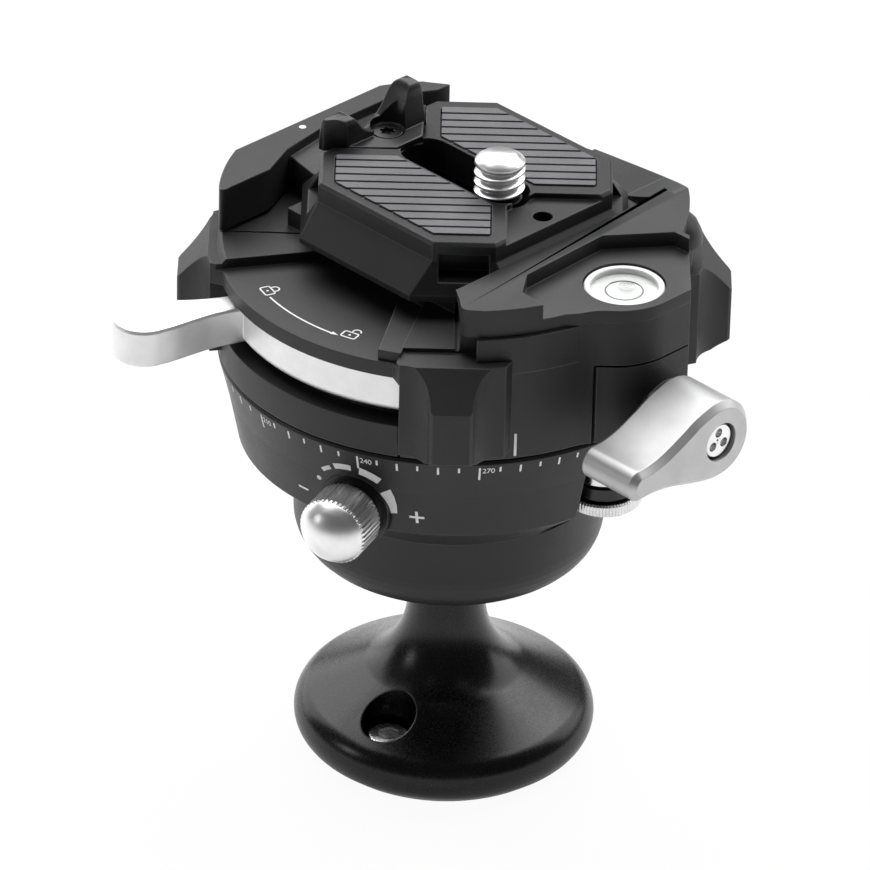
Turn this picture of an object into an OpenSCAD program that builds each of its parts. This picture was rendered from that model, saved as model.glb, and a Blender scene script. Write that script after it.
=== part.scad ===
// Inverted ball head with a square dovetail quick release.
// Frame: Z up, origin in the middle of the foot's underside, X along the release channel.
// All sizes in millimetres, angles in degrees.

/* [Foot] */
// Outer radius of the foot
foot_r = 19.3; // [18:0.1:22]
// Radius of the round rim of the foot
foot_rim_r = 3.6; // [3:0.1:4]
// Radius of the neck
neck_r = 5; // [4.5:0.1:5.5]
// Nominal radius of the tripod thread
tripod_thread_r = 4.76; // [3.1:0.01:4.8]
// Depth of the tripod thread
tripod_thread_len = 9; // [7:0.5:10]
// Distance of the locking screw from the middle
foot_screw_at = 13.2; // [12.6:0.1:13.4]
// Radius of the counterbore for the locking screw
foot_bore_r = 3.5; // [3.1:0.1:3.6]

/* [Ball] */
// Radius of the ball
ball_r = 15; // [14.5:0.1:15.5]
// Height of the ball's centre
ball_z = 38.5; // [38:0.1:39]
// Radial clearance between the ball and its seat
ball_fit = 0.06; // [0.03:0.01:0.1]

/* [Ball housing] */
// Outer radius of the bowl
bowl_r = 19.7; // [19:0.1:20.5]
// Radius of the opening for the neck
opening_r = 12.2; // [11.5:0.1:12.6]
// Radius of the graduated rim
rim_r = 29.5; // [29:0.1:30]
// Height of the top face of the housing
housing_top = 58.1; // [57.8:0.1:58.2]
// Width of the drop notch
notch_w = 11.2; // [10.8:0.1:12]
// Direction of the drop notch
notch_az = 45; // [35:1:55]

/* [Friction knob] */
// Direction of the friction knob
knob_az = -160; // [-175:1:-145]
// Radius of the knurled part
knob_r = 4.9; // [4.5:0.1:5.2]
// Length of the knurled part
knob_len = 4.2; // [3.5:0.1:5]
// Height of the knob's axis
knob_z = 48.6; // [47.8:0.1:49.4]
// Number of knurls round the knob
knob_knurls = 44; // [30:1:52]

/* [Pan lock] */
// Radius of the knurled pan lock wheel
wheel_r = 5; // [4.5:0.1:5.3]
// Number of knurls round the pan lock wheel
wheel_knurls = 40; // [30:1:48]

/* [Upper body] */
// Height of the lower face of the deck
deck_bottom = 69.5; // [69.3:0.1:69.8]
// Height of the sunken sector of the deck
deck_low = 71.5; // [71.2:0.1:71.8]
// Height of the deck
deck_top = 72.9; // [72.6:0.1:73.1]
// Radius over the grip lobes
lobe_r = 34.5; // [33.5:0.1:35]
// Half width of the lobe's outer face
lobe_half = 2.6; // [2.2:0.1:3.2]

/* [Main lever] */
// Height of the main lever's axis
lever_z = 62.3; // [62:0.1:62.6]
// Sideways place of the main lever's axis
lever_x = 2.1; // [1.8:0.1:2.4]
// Radius of the lever's round end
lever_hub_r = 5.3; // [5:0.1:5.6]
// Distance from the axis to the middle of the handle's tip
lever_reach = 13.2; // [12:0.1:15]
// Width of the lever along its axis
lever_w = 8.8; // [8:0.1:10]
// Outer end of the lever
lever_end = 44.4; // [44:0.1:46]
// Width of the bevel round the lever's outer face
lever_bevel = 0.8; // [0.4:0.1:1]

/* [Release lever] */
// Outer radius of the release lever's ring
ring_r = 28.45; // [28.2:0.05:28.5]
// Height of the lower face of the ring
ring_bottom = 64.05; // [64:0.05:64.2]
// Height of the upper face of the ring
ring_top = 69.2; // [69:0.05:69.25]
// Distance of the handle's middle from the centre
handle_at = 40.8; // [40:0.1:42]
// Radius of the handle's round end
handle_r = 3.9; // [3.4:0.1:4.2]
// Travel of the release lever
release_turn = 42; // [38:1:44]

/* [Quick release plate] */
// Half width of the plate's dovetail foot
plate_half = 19; // [18.8:0.1:19.1]
// Half width of the plate's top
plate_top_half = 15.6; // [15:0.1:16]
// Height of the plate's top face
plate_top = 82.4; // [82:0.1:83]
// Height of the plate's underside
plate_bottom = 75.4; // [75.3:0.05:75.5]
// Number of ribs on each pad
pad_ribs = 11; // [8:1:14]

/* [Camera screw] */
// Nominal radius of the camera thread
camera_thread_r = 3.175; // [3.1:0.005:4.77]
// Length of the thread above the plate
camera_thread_len = 4.8; // [4:0.1:6]
// Pitch of the camera thread
camera_pitch = 1.27; // [1.2:0.01:1.6]

/* [Hidden] */
$fn = 96;
seat_gap = 0.3;
slide_gap = 0.08;
pan_gap = 0.35;
slit = 0.35;
eps = 0.01;
shell_bottom = housing_top + pan_gap;
charcoal = [0.13, 0.13, 0.15];
black = [0.07, 0.07, 0.08];
silver = [0.78, 0.79, 0.81];
steel = [0.70, 0.71, 0.73];
white = [0.95, 0.95, 0.95];
rubber = [0.20, 0.20, 0.22];
foot_flare_r = foot_rim_r + 7.9;
foot_flare_z = 20.5;
neck_top = ball_z - sqrt(ball_r * ball_r - (neck_r + 0.1) * (neck_r + 0.1)) - 0.2;
spigot_r = 4;
spigot_fit = 0.05;
spigot_top = 33;
ball_flat = neck_top + seat_gap;
foot_screw_az = -167;
foot_screw_seat = 3.8;
foot_screw_shank_r = 1.5;
bowl_round = 5.5;
bowl_round_z = 34.4;
bowl_low = 27.4;
bowl_side_top = 40.3;
rim_low_r = rim_r - 2.6;
rim_low_z = 46.1;
rim_mid_r = rim_r - 1.3;
rim_mid_z = 52.5;
notch_lift = 0.6;
cup_bore_r = ball_r + 0.4;
cup_r = cup_bore_r - ball_fit;
cup_low = 45;
cup_high = 54.2;
cup_hole_r = 6;
thrust_r = 12.5;
thrust_hole_r = 7;
thrust_low = cup_high + seat_gap;
thrust_high = 56;
spigot_bore_r = 18.6;
spigot_bore_z = 54.6;
pan_spigot_r = spigot_bore_r - 0.06;
pan_spigot_hole_r = 13;
knob_seat_r = 4.8;
knob_seat_in = 24;
knob_seat_out = 27.9;
knob_in = knob_seat_out + seat_gap;
knob_spot = 0.2;
knob_dome_h = 2.6;
friction_bore_r = 2.55;
friction_shaft_r = 2.5;
pocket_x = lever_x;
pocket_half = 6.4;
pocket_in = 19.4;
pocket_top = 56.3;
wheel_y = -24.9;
wheel_low = 45.8;
wheel_high = 47.5;
wheel_hub_r = 4.2;
wheel_hub_high = 49.9;
wheel_cap_r = 4.6;
wheel_cap_high = 52.4;
wheel_pin_r = 1.6;
wheel_pin_fit = 0.05;
wheel_pin_high = housing_top - 1.2;
core_r = 26.2;
core_top = 63.6;
collar_top = 62.7;
block_half = 5.2;
block_top = 66.2;
block_face_top = 69.2;
block_in = 8;
shaft_r = 3;
shaft_fit = 0.05;
shaft_in = 9;
lever_back = lever_end - lever_w;
shaft_out = lever_back - 0.2;
lever_hollow = 42;
washer_r = 4.6;
washer_in = lever_back - 0.9;
bush_r = 4.2;
plunger_y = -11;
plunger_r = 2;
plunger_fit = 0.05;
plunger_low = thrust_high + 0.35;
plunger_high = lever_z - shaft_r - 0.35;
shell_in_low = core_r + 0.15;
shell_in_high = ring_r + 0.2;
groove_z = 63.8;
release_az = -204;
collar_from = -213;
collar_to = -147;
block_from = -5.2;
block_to = 10.2;
boss_mid = 2.5;
jaw_seat = deck_top + 2.5;
lobe_top = 72.3;
lobe_from = 59.6;
lobe_cut_r = lobe_r - 3.8;
lobe_cut_low = 67.85;
sector_half = 32;
step_half = 46;
jaw_top = jaw_seat + 3.8;
jaw_bottom = deck_top + 0.4;
plateau = jaw_seat + 1.8;
plate_x = 0.9;
plate_y = -0.6;
flare_low = plate_bottom + 0.8;
flare_high = plate_bottom + 4.4;
channel_floor = plate_bottom - slide_gap;
jaw_gap = 0.08;
stop_x = plate_x + plate_half + 0.3;
ramp_r = 44.7;
ramp_y = 4;
ramp_z = deck_top + 0.4;
nose_x = -19.3;
cheek_az = -51.5;
cheek_r = 3.2;
jaw_chord = 26.7;
boss_face = lever_back - 2;
boss_half = 4.7;
boss_r = 8.3;
boss_fillet = 7;
boss_corner = 14;
bubble_y = -27.2;
bubble_r = 5.1;
vial_low = jaw_seat + 0.1;
vial_high = vial_low + 1.5;
tongue_low = 67;
tongue_high = 68.4;
tongue_half = 6;
post_in = 18.6;
post_out = 22.4;
release_travel = 2;
crank_r = release_travel / (2 * sin(release_turn / 2));
crank_pin_r = 1.2;
crank_fit = 0.08;
hub_r = 5.2;
hub_high = 66.5;
hub_pin_r = 3;
hub_pin_fit = 0.05;
hub_pin_top = 65.4;
arm_half = 4;
neck_half = 1.7;
handle_hollow = 16;
handle_bevel = 0.5;
pad_depth = 0.6;
pad_proud = 0.2;
rib_pitch = 1.8;
slot_half = 3.3;
slider_slack = 0.45;
slot_from = -6.6;
slot_to = 6.9;
screw_y = -5.9;
land_depth = 0.8;
land_y = 9.6;
land_half = 2.4;
accessory_y = 13.5;
accessory_r = 1.25;
bracket_y = 13.9;
bracket_rise = 0.1;
bracket_screw_r = 1.9;
bracket_shank_r = 1.2;

// plain ring between two radii and two heights
module tube(outer, inner, low, high) {
    difference() {
        translate([0, 0, low]) cylinder(r = outer, h = high - low);
        translate([0, 0, low - 1]) cylinder(r = inner, h = high - low + 2);
    }
}

// wedge of a disc between two directions, for windows and sectors
module sector(radius, from, to, low, high) {
    turn = to - from;
    steps = ceil(turn / 15);
    rim = [for (i = [0 : steps])
        [cos(from + turn * i / steps), sin(from + turn * i / steps)] * radius * 1.1];
    translate([0, 0, low]) linear_extrude(high - low) polygon(concat([[0, 0]], rim));
}

// ring sector with flat ends
module ring_sector(outer, inner, from, to, low, high) {
    intersection() {
        tube(outer, inner, low, high);
        sector(outer, from, to, low - 1, high + 1);
    }
}

// round end tapering along X to a smaller round tip, with hollow flanks and a bevelled top edge
module teardrop(end_r, tip_r, reach, hollow, tall, bevel) {
    from_end = end_r + hollow;
    from_tip = tip_r + hollow;
    swing = acos((from_end * from_end + reach * reach - from_tip * from_tip) / (2 * from_end * reach));
    flank = from_end * [cos(swing), sin(swing)];
    way = [flank[0] - reach, flank[1]] / from_tip;
    side = [end_r * [cos(swing), sin(swing)], [reach, 0] + tip_r * way];
    difference() {
        union() {
            for (spot = [[0, end_r], [reach, tip_r]]) translate([spot[0], 0, 0]) {
                cylinder(r = spot[1], h = tall - bevel);
                translate([0, 0, tall - bevel]) cylinder(r1 = spot[1], r2 = spot[1] - bevel, h = bevel);
            }
            linear_extrude(tall) polygon([[0, 0], side[0], side[1], [reach, 0],
                [side[1][0], -side[1][1]], [side[0][0], -side[0][1]]]);
        }
        for (s = [-1, 1]) translate([flank[0], s * flank[1], 0]) {
            translate([0, 0, -1]) cylinder(r = hollow, h = tall + 2, $fn = 360);
            translate([0, 0, tall - bevel])
                cylinder(r1 = hollow, r2 = hollow + 2 * bevel, h = 2 * bevel, $fn = 360);
        }
    }
}

// trumpet foot with the tripod thread and the locking screw's counterbore
module base_foot() {
    flare_x = neck_r + foot_flare_r;
    rim_x = foot_r - foot_rim_r;
    rim_z = foot_rim_r + 0.3;
    color(black) difference() {
        union() {
            rotate_extrude() polygon(concat(
                [[0, 0], [rim_x + 0.9, 0]],
                [for (a = [-60 : 10 : 60]) [rim_x + foot_rim_r * cos(a), rim_z + foot_rim_r * sin(a)]],
                [for (a = [240 : -6 : 180])
                    [flare_x + foot_flare_r * cos(a), foot_flare_z + foot_flare_r * sin(a)]],
                [[neck_r, neck_top], [0, neck_top]]));
            cylinder(r = spigot_r, h = spigot_top);
        }
        translate([0, 0, -1]) cylinder(r = tripod_thread_r, h = tripod_thread_len + 1);
        rotate(foot_screw_az) translate([foot_screw_at, 0, 0]) {
            translate([0, 0, foot_screw_seat]) cylinder(r = foot_bore_r, h = 20);
            translate([0, 0, -1]) cylinder(r = foot_screw_shank_r + 0.1, h = 20);
        }
    }
}

// socket head screw that locks the foot to the tripod
module foot_lock_screw() {
    head_r = 2.7;
    socket_r = 1.45;
    color(steel) rotate(foot_screw_az) translate([foot_screw_at, 0, 0]) difference() {
        union() {
            translate([0, 0, 0.6]) cylinder(r = foot_screw_shank_r, h = foot_screw_seat);
            translate([0, 0, foot_screw_seat + eps]) cylinder(r = head_r, h = 2.4);
            translate([0, 0, foot_screw_seat + eps + 2.4]) cylinder(r1 = head_r, r2 = head_r - 0.4, h = 0.4);
        }
        translate([0, 0, foot_screw_seat + 1.2]) cylinder(r = socket_r, h = 5, $fn = 6);
    }
}

// polished ball on the neck's spigot
module ball() {
    color(steel) difference() {
        translate([0, 0, ball_z]) sphere(r = ball_r);
        translate([0, 0, ball_z - 2 * ball_r]) cylinder(r = 2 * ball_r, h = ball_flat - ball_z + 2 * ball_r);
        translate([0, 0, ball_flat - 1])
            cylinder(r = spigot_r + spigot_fit, h = spigot_top + seat_gap + 1 - ball_flat);
    }
}

// outline of the housing and bowl, turned about the axis
module housing_outline() {
    polygon(concat(
        [[0, bowl_low]],
        [for (a = [-60 : 10 : 0])
            [bowl_r - bowl_round + bowl_round * cos(a), bowl_round_z + bowl_round * sin(a)]],
        [[bowl_r, bowl_side_top], [rim_low_r, rim_low_z], [rim_mid_r, rim_mid_z],
         [rim_r, housing_top - 0.4], [rim_r - 0.25, housing_top], [0, housing_top]]));
}

// half section of the housing: outline less the ball's seat, the cup's bore and the spigot's bore
module housing_section() {
    seat_r = ball_r + ball_fit;
    difference() {
        housing_outline();
        intersection() {
            translate([0, ball_z]) circle(r = seat_r);
            translate([0, ball_z - 2 * ball_r]) square([2 * ball_r, 2 * ball_r]);
        }
        translate([-1, ball_z]) square([cup_bore_r + 1, housing_top]);
        translate([-1, bowl_low - 5]) square([opening_r + 1, ball_z - bowl_low]);
        translate([-1, spigot_bore_z]) square([spigot_bore_r + 1, housing_top]);
    }
}

// drop notch for the neck, pointing along X before it is turned into place
module drop_notch() {
    translate([opening_r - 4, 0, ball_z + notch_lift]) rotate([90, 0, 90]) linear_extrude(30) {
        circle(r = notch_w / 2);
        translate([-notch_w / 2, -ball_z]) square([notch_w, ball_z]);
    }
}

// housing of the ball with the graduated rim, the drop notch and the pan lock pocket
module ball_housing() {
    color(charcoal) difference() {
        rotate_extrude() housing_section();
        rotate(notch_az) drop_notch();
        rotate(knob_az) translate([10, 0, knob_z]) rotate([0, 90, 0])
            cylinder(r = friction_bore_r, h = 30);
        rotate(knob_az) translate([knob_seat_in, 0, knob_z]) rotate([0, 90, 0])
            cylinder(r = knob_seat_r, h = 20);
        rotate(knob_az) translate([knob_in - knob_spot, 0, knob_z]) rotate([0, 90, 0])
            cylinder(r = knob_r + knob_spot, h = 20);
        translate([pocket_x - pocket_half, -40, 40])
            cube([2 * pocket_half, 40 - pocket_in, pocket_top - 40]);
        translate([pocket_x, wheel_y, pocket_top - 1]) cylinder(r = wheel_pin_r + wheel_pin_fit, h = 10);
    }
}

// plain seat ring of the friction knob
module knob_seat() {
    color(black) rotate(knob_az) translate([knob_seat_in + eps, 0, knob_z]) rotate([0, 90, 0])
        difference() {
            cylinder(r = knob_seat_r - 0.02, h = knob_seat_out - knob_seat_in - eps);
            translate([0, 0, -1]) cylinder(r = friction_bore_r, h = 20);
        }
}

// cup that presses on the ball from above
module pressure_cup() {
    color(steel) difference() {
        tube(cup_r, cup_hole_r, cup_low, cup_high);
        translate([0, 0, ball_z]) sphere(r = ball_r + ball_fit);
    }
}

// ring that carries the lock's thrust while the upper body turns
module thrust_ring() {
    color(steel) tube(thrust_r, thrust_hole_r, thrust_low, thrust_high);
}

// knurled friction knob with a domed end
module friction_knob() {
    knurl_r = 0.22;
    dome_r = (knob_r * knob_r + knob_dome_h * knob_dome_h) / (2 * knob_dome_h);
    color(silver) rotate(knob_az) translate([knob_in, 0, knob_z]) rotate([0, 90, 0]) {
        difference() {
            cylinder(r = knob_r, h = knob_len);
            for (i = [0 : knob_knurls - 1])
                rotate(i * 360 / knob_knurls) translate([knob_r, 0, 0.4])
                    rotate(45) translate([-knurl_r, -knurl_r, 0])
                        cube([2 * knurl_r, 2 * knurl_r, knob_len - 0.8]);
        }
        intersection() {
            translate([0, 0, knob_len]) cylinder(r = knob_r - 0.15, h = knob_dome_h);
            translate([0, 0, knob_len + knob_dome_h - dome_r]) sphere(r = dome_r);
        }
    }
}

// threaded shaft of the friction knob, ending just short of the cup
module friction_shaft() {
    color(steel) rotate(knob_az) translate([cup_r + 0.45, 0, knob_z]) rotate([0, 90, 0])
        cylinder(r = friction_shaft_r - 0.02, h = knob_in - cup_r - 0.45 - eps);
}

// knurled wheel of the pan lock
module pan_lock_wheel() {
    knurl = 0.2;
    color(silver) translate([pocket_x, wheel_y, 0]) difference() {
        translate([0, 0, wheel_low]) cylinder(r = wheel_r, h = wheel_high - wheel_low);
        for (i = [0 : wheel_knurls - 1])
            rotate(i * 360 / wheel_knurls) translate([wheel_r, 0, wheel_low - 1])
                rotate(45) translate([-knurl, -knurl, 0]) cube([2 * knurl, 2 * knurl, 4]);
    }
}

// dark hub above the wheel with a groove under its cap
module pan_lock_hub() {
    color(black) translate([pocket_x, wheel_y, 0]) {
        translate([0, 0, wheel_high + eps]) cylinder(r = wheel_hub_r, h = 1.6);
        translate([0, 0, wheel_high + eps])
            cylinder(r = wheel_hub_r - 0.9, h = wheel_hub_high - wheel_high - 2 * eps);
    }
}

// bright cap and pin of the pan lock
module pan_lock_pin() {
    color(steel) translate([pocket_x, wheel_y, 0]) {
        translate([0, 0, wheel_hub_high]) cylinder(r = wheel_cap_r, h = wheel_cap_high - wheel_hub_high);
        translate([0, 0, wheel_cap_high - eps])
            cylinder(r = wheel_pin_r, h = wheel_pin_high - wheel_cap_high);
    }
}

// one grip lobe, pointing along X before it is turned into place
module lobe() {
    flute = 3.9;
    flute_x = lobe_r - 0.3;
    flute_y = lobe_half + flute;
    root_x = flute_x - flute;
    difference() {
        translate([0, 0, lobe_from]) linear_extrude(lobe_top - lobe_from)
            difference() {
                polygon([[26, -flute_y - 1.5], [28.5, -flute_y - 0.8], [root_x, -flute_y],
                         [flute_x, -flute_y], [flute_x, -lobe_half], [lobe_r, -lobe_half + 0.3],
                         [lobe_r, lobe_half - 0.3], [flute_x, lobe_half], [flute_x, flute_y],
                         [root_x, flute_y], [28.5, flute_y + 0.8], [26, flute_y + 1.5]]);
                for (s = [-1, 1]) translate([flute_x, s * flute_y]) circle(r = flute);
            }
        rotate([90, 0, 0]) translate([0, 0, -20]) linear_extrude(40)
            polygon([[lobe_cut_r, lobe_top], [lobe_r, lobe_cut_low], [lobe_r + 5, lobe_cut_low],
                     [lobe_r + 5, lobe_top + 5], [lobe_cut_r, lobe_top + 5]]);
        rotate([90, 0, 0]) translate([0, 0, -20]) linear_extrude(40)
            polygon([[lobe_r - 2.4, lobe_from - 1], [lobe_r + 1, lobe_from - 1],
                     [lobe_r + 1, lobe_from + 1.2], [lobe_r, lobe_from + 1.2], [lobe_r - 2.4, lobe_from]]);
    }
}

// outline of the boss over the main lever, seen from above: a round front with a flat,
// a concave fillet towards the skirt on the left and a straight bevel on the right
module boss_outline() {
    round_y = -boss_face + boss_r;
    reach = norm([boss_mid, round_y]);
    away = rim_r + boss_fillet;
    apart = boss_r + boss_fillet;
    swing = acos((away * away + reach * reach - apart * apart) / (2 * away * reach));
    fillet_az = atan2(round_y, boss_mid) - swing;
    fillet_x = away * cos(fillet_az);
    fillet_y = away * sin(fillet_az);
    difference() {
        union() {
            translate([boss_mid, round_y]) circle(r = boss_r);
            polygon([[boss_mid, -boss_face], [boss_mid + boss_half, -boss_face], [boss_corner, -26.6],
                     [boss_corner, round_y], [boss_mid, round_y]]);
            polygon([[rim_r * cos(fillet_az), rim_r * sin(fillet_az)], [fillet_x, fillet_y],
                     [boss_mid, round_y], [boss_mid, -20], [-9, -20]]);
        }
        translate([fillet_x, fillet_y]) circle(r = boss_fillet);
    }
}

// outline of the fixed jaw with its end stop, seen from above
module jaw_outline() {
    intersection() {
        union() {
            circle(r = rim_r - 0.6);
            boss_outline();
        }
        polygon([[nose_x + 2.4, -17], [nose_x, -20.2], [nose_x, -22.2], [nose_x + 5.6, -27], [-12, -40],
                 [40, -40], [40, ramp_y], [stop_x, ramp_y], [stop_x, plate_y - plate_top_half],
                 [nose_x + 2.4, plate_y - plate_top_half]]);
    }
}

// hollow slope beside the plate, from the deck up to the fixed jaw's right end
module jaw_ramp() {
    translate([stop_x, ramp_y, ramp_z + ramp_r]) rotate([0, 90, 0]) cylinder(r = ramp_r, h = 20, $fn = 360);
}

// turning upper shell: deck, skirt with four lobes, lever boss and the two windows
module pan_shell() {
    seat_y = plate_y - plate_half - jaw_gap;
    color(charcoal) difference() {
        union() {
            translate([0, 0, shell_bottom]) cylinder(r = rim_r, h = deck_top - shell_bottom - 0.5);
            translate([0, 0, deck_top - 0.5]) cylinder(r1 = rim_r, r2 = rim_r - 0.5, h = 0.5);
            translate([0, 0, shell_bottom]) linear_extrude(deck_top - shell_bottom) boss_outline();
            for (a = [45 : 90 : 315]) rotate(a) lobe();
            translate([plate_x - 14, -16.5, deck_top - 1]) cube([33, 33, channel_floor - deck_top + 1]);
            translate([0, 0, deck_top - 1]) linear_extrude(jaw_seat - deck_top + 1) difference() {
                jaw_outline();
                translate([-40, seat_y]) square([40 + stop_x - 0.1, 40]);
            }
        }
        translate([0, 0, shell_bottom - 1]) cylinder(r = shell_in_low, h = deck_bottom - shell_bottom + 1);
        translate([0, 0, groove_z]) cylinder(r = shell_in_high, h = deck_bottom - groove_z);
        difference() {
            sector(rim_r + 8, collar_from, collar_to, shell_bottom - 5, deck_bottom);
            translate([0, 0, shell_bottom - 6]) cylinder(r = 15, h = 30);
        }
        translate([block_from, -60, shell_bottom - 5])
            cube([block_to - block_from, 60 - 22, deck_bottom - shell_bottom + 5]);
        difference() {
            sector(rim_r + 8, 180 - sector_half, 180 + sector_half, deck_low, deck_top + 5);
            translate([plate_x - 14, -16.5, deck_low - 1]) cube([33, 33, 9]);
        }
        translate([lever_x - tongue_half + 2.1, post_in - 0.3, deck_bottom - 1])
            cube([2 * tongue_half - 4.2, post_out - post_in + release_travel + 0.6, 20]);
        for (a = [180 - step_half, 180 + step_half])
            rotate(a) translate([17, -0.2, deck_top - 0.3]) cube([20, 0.4, 5]);
        jaw_ramp();
        rotate(-135) translate([27.1, -20, lobe_top]) intersection() {
            cube([20, 40, 20]);
            translate([0, 4, 0]) cube([20, 24, 20]);
        }
    }
}

// inner clamp body: spigot, collar band in the left window and block in the right one
module clamp_core() {
    color(charcoal) difference() {
        union() {
            tube(pan_spigot_r, pan_spigot_hole_r, spigot_bore_z + seat_gap, shell_bottom + 1);
            translate([0, 0, shell_bottom]) cylinder(r = core_r, h = core_top - shell_bottom);
            ring_sector(rim_r, core_r - 1, collar_from + 0.7, collar_to - 0.7, shell_bottom, collar_top);
            translate([0, 0, shell_bottom]) linear_extrude(block_face_top - shell_bottom) intersection() {
                boss_outline();
                translate([block_from + slit, -boss_face - 1])
                    square([block_to - block_from - 2 * slit, boss_face + 1 - 23]);
            }
            intersection() {
                translate([lever_x - block_half, -28, shell_bottom])
                    cube([2 * block_half, 28 - block_in, block_top - shell_bottom]);
                translate([0, 0, shell_bottom]) cylinder(r = core_r, h = 20);
            }
            translate([0, 0, core_top - 1]) cylinder(r = hub_pin_r, h = hub_pin_top - core_top + 1);
        }
        translate([lever_x, -40, lever_z]) rotate([-90, 0, 0])
            cylinder(r = shaft_r + shaft_fit, h = 40 - shaft_in + 0.3);
        translate([lever_x, plunger_y, cup_high])
            cylinder(r = plunger_r + plunger_fit, h = lever_z - 1 - cup_high);
    }
}

// pin pushed down on the thrust ring by the main lever's shaft
module lock_plunger() {
    color(steel) translate([lever_x, plunger_y, plunger_low])
        cylinder(r = plunger_r, h = plunger_high - plunger_low);
}

// fixed jaw with the level's plateau and the end stop
module fixed_jaw() {
    flank = (plate_half - plate_top_half) / (flare_high - flare_low);
    lip_y = plate_y - plate_top_half - (flare_high - jaw_top) * flank - jaw_gap;
    low_y = plate_y - plate_half - jaw_gap;
    color(charcoal) difference() {
        translate([0, 0, jaw_seat + eps]) linear_extrude(jaw_top - jaw_seat - eps) {
            jaw_outline();
            rotate(cheek_az) translate([rim_r - 2.4, 0]) circle(r = cheek_r);
        }
        rotate([90, 0, 90]) translate([0, 0, -30]) linear_extrude(30 + stop_x)
            polygon([[low_y, jaw_seat - 1], [low_y, flare_low], [lip_y, jaw_top + eps],
                     [lip_y, jaw_top + 2], [0, jaw_top + 2], [0, jaw_seat - 1]]);
        translate([0, 0, plateau]) linear_extrude(10)
            polygon([[-11, -22.6], [-7.6, -20], [6, -19.4], [13.3, -24.8], [13.6, -40], [-12.4, -40]]);
        translate([lever_x, bubble_y, vial_low]) cylinder(r = bubble_r + 0.02, h = 10);
        jaw_ramp();
        translate([stop_x - 1, -16, plateau - 0.4]) cube([2.4, 2.6, 5]);
    }
}

// level: white body with a bubble window
module level_body() {
    color(white) translate([lever_x, bubble_y, 0]) difference() {
        translate([0, 0, vial_low + eps]) cylinder(r = bubble_r, h = vial_high - vial_low);
        translate([0, 0, vial_high - 1.2]) cylinder(r = bubble_r - 0.9, h = 5);
    }
}

// clear window of the level
module level_glass() {
    color([0.85, 0.92, 0.85]) translate([lever_x, bubble_y, 0])
        translate([0, 0, vial_high - 1.2 + eps]) cylinder(r = bubble_r - 0.92, h = 1.5);
}

// moving jaw with its outer rim and clamping lip
module moving_jaw() {
    flank = (plate_half - plate_top_half) / (flare_high - flare_low);
    lip_z = 77.8;
    lip_y = plate_y + plate_top_half + (flare_high - lip_z) * flank + jaw_gap;
    low_y = plate_y + plate_half + jaw_gap;
    color(charcoal) {
        translate([0, 0, jaw_bottom]) linear_extrude(jaw_top - jaw_bottom) intersection() {
            circle(r = rim_r);
            polygon([[-24, 20.2], [-12.7, 20.2], [-7.6, 22.5], [-1, 23.6], [12.5, 23.6], [17.2, 20.9],
                     [19.4, 20.9], [17.9, 23], [14.6, jaw_chord], [-12.5, jaw_chord], [-24, 24]]);
        }
        intersection() {
            rotate([90, 0, 90]) translate([0, 0, -12]) linear_extrude(28)
                polygon([[low_y, jaw_bottom], [low_y, flare_low], [lip_y, lip_z], [jaw_chord - 2.7, lip_z],
                         [jaw_chord - 2.7, jaw_bottom]]);
            translate([0, 0, jaw_bottom - 1]) linear_extrude(20)
                polygon([[-8.4, 15], [14, 15], [14, 25], [-6.4, 25]]);
        }
    }
}

// tongue of the moving jaw, driven by the crank pin under the deck
module jaw_tongue() {
    color(steel) difference() {
        union() {
            translate([lever_x - tongue_half + 2.4, -4, tongue_low])
                cube([2 * tongue_half - 4.8, post_out + 4, tongue_high - tongue_low]);
            translate([lever_x - tongue_half + 2.4, post_in, tongue_low])
                cube([2 * tongue_half - 4.8, post_out - post_in, jaw_bottom - eps - tongue_low]);
        }
        translate([crank_r * cos(release_turn / 2), -release_travel / 2, tongue_low - 1]) {
            cylinder(r = crank_pin_r + crank_fit, h = 5);
            translate([0, -crank_pin_r - crank_fit, 0]) cube([0.3, 2 * (crank_pin_r + crank_fit), 5]);
            translate([0.3, 0, 0]) cylinder(r = crank_pin_r + crank_fit, h = 5);
        }
    }
}

// release lever: ring sector seen in the window, arm to the middle and the handle
module release_lever() {
    color(silver) difference() {
        union() {
            ring_sector(ring_r, 25, release_az - 12, release_az + 58, ring_bottom, ring_top);
            rotate(release_az) {
                translate([0, -arm_half, ring_bottom]) cube([26, 2 * arm_half, hub_high - ring_bottom]);
                translate([handle_at, 0, ring_bottom]) rotate(180)
                    teardrop(handle_r, neck_half, handle_at - ring_r - 1.05, handle_hollow,
                             ring_top - ring_bottom, handle_bevel);
                translate([26.5, -neck_half, ring_bottom]) cube([3.5, 2 * neck_half, ring_top - ring_bottom]);
            }
            translate([0, 0, ring_bottom]) cylinder(r = hub_r, h = hub_high - ring_bottom);
        }
        translate([0, 0, ring_bottom - 1])
            cylinder(r = hub_pin_r + hub_pin_fit, h = hub_pin_top + 0.2 - ring_bottom + 1);
    }
}

// crank pin that moves the jaw's tongue
module crank_pin() {
    color(steel) translate([crank_r * cos(release_turn / 2), -release_travel / 2, hub_high + eps])
        cylinder(r = crank_pin_r, h = tongue_high - hub_high);
}

// main lock lever: teardrop with a hollow waist and a bevelled outer edge
module main_lever() {
    tip_r = 2.15;
    tip_drop = 1;
    reach = norm([lever_reach, tip_drop]);
    color(silver) translate([lever_x, -lever_back, lever_z]) rotate([90, 0, 0]) difference() {
        rotate(180 + atan2(tip_drop, lever_reach))
            teardrop(lever_hub_r, tip_r, reach, lever_hollow, lever_w, lever_bevel);
        translate([0, 0, lever_w - 2.2]) cylinder(r = 2.1, h = 5);
        translate([0, 0, -1]) cylinder(r = 1.55, h = 20);
    }
}

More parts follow.
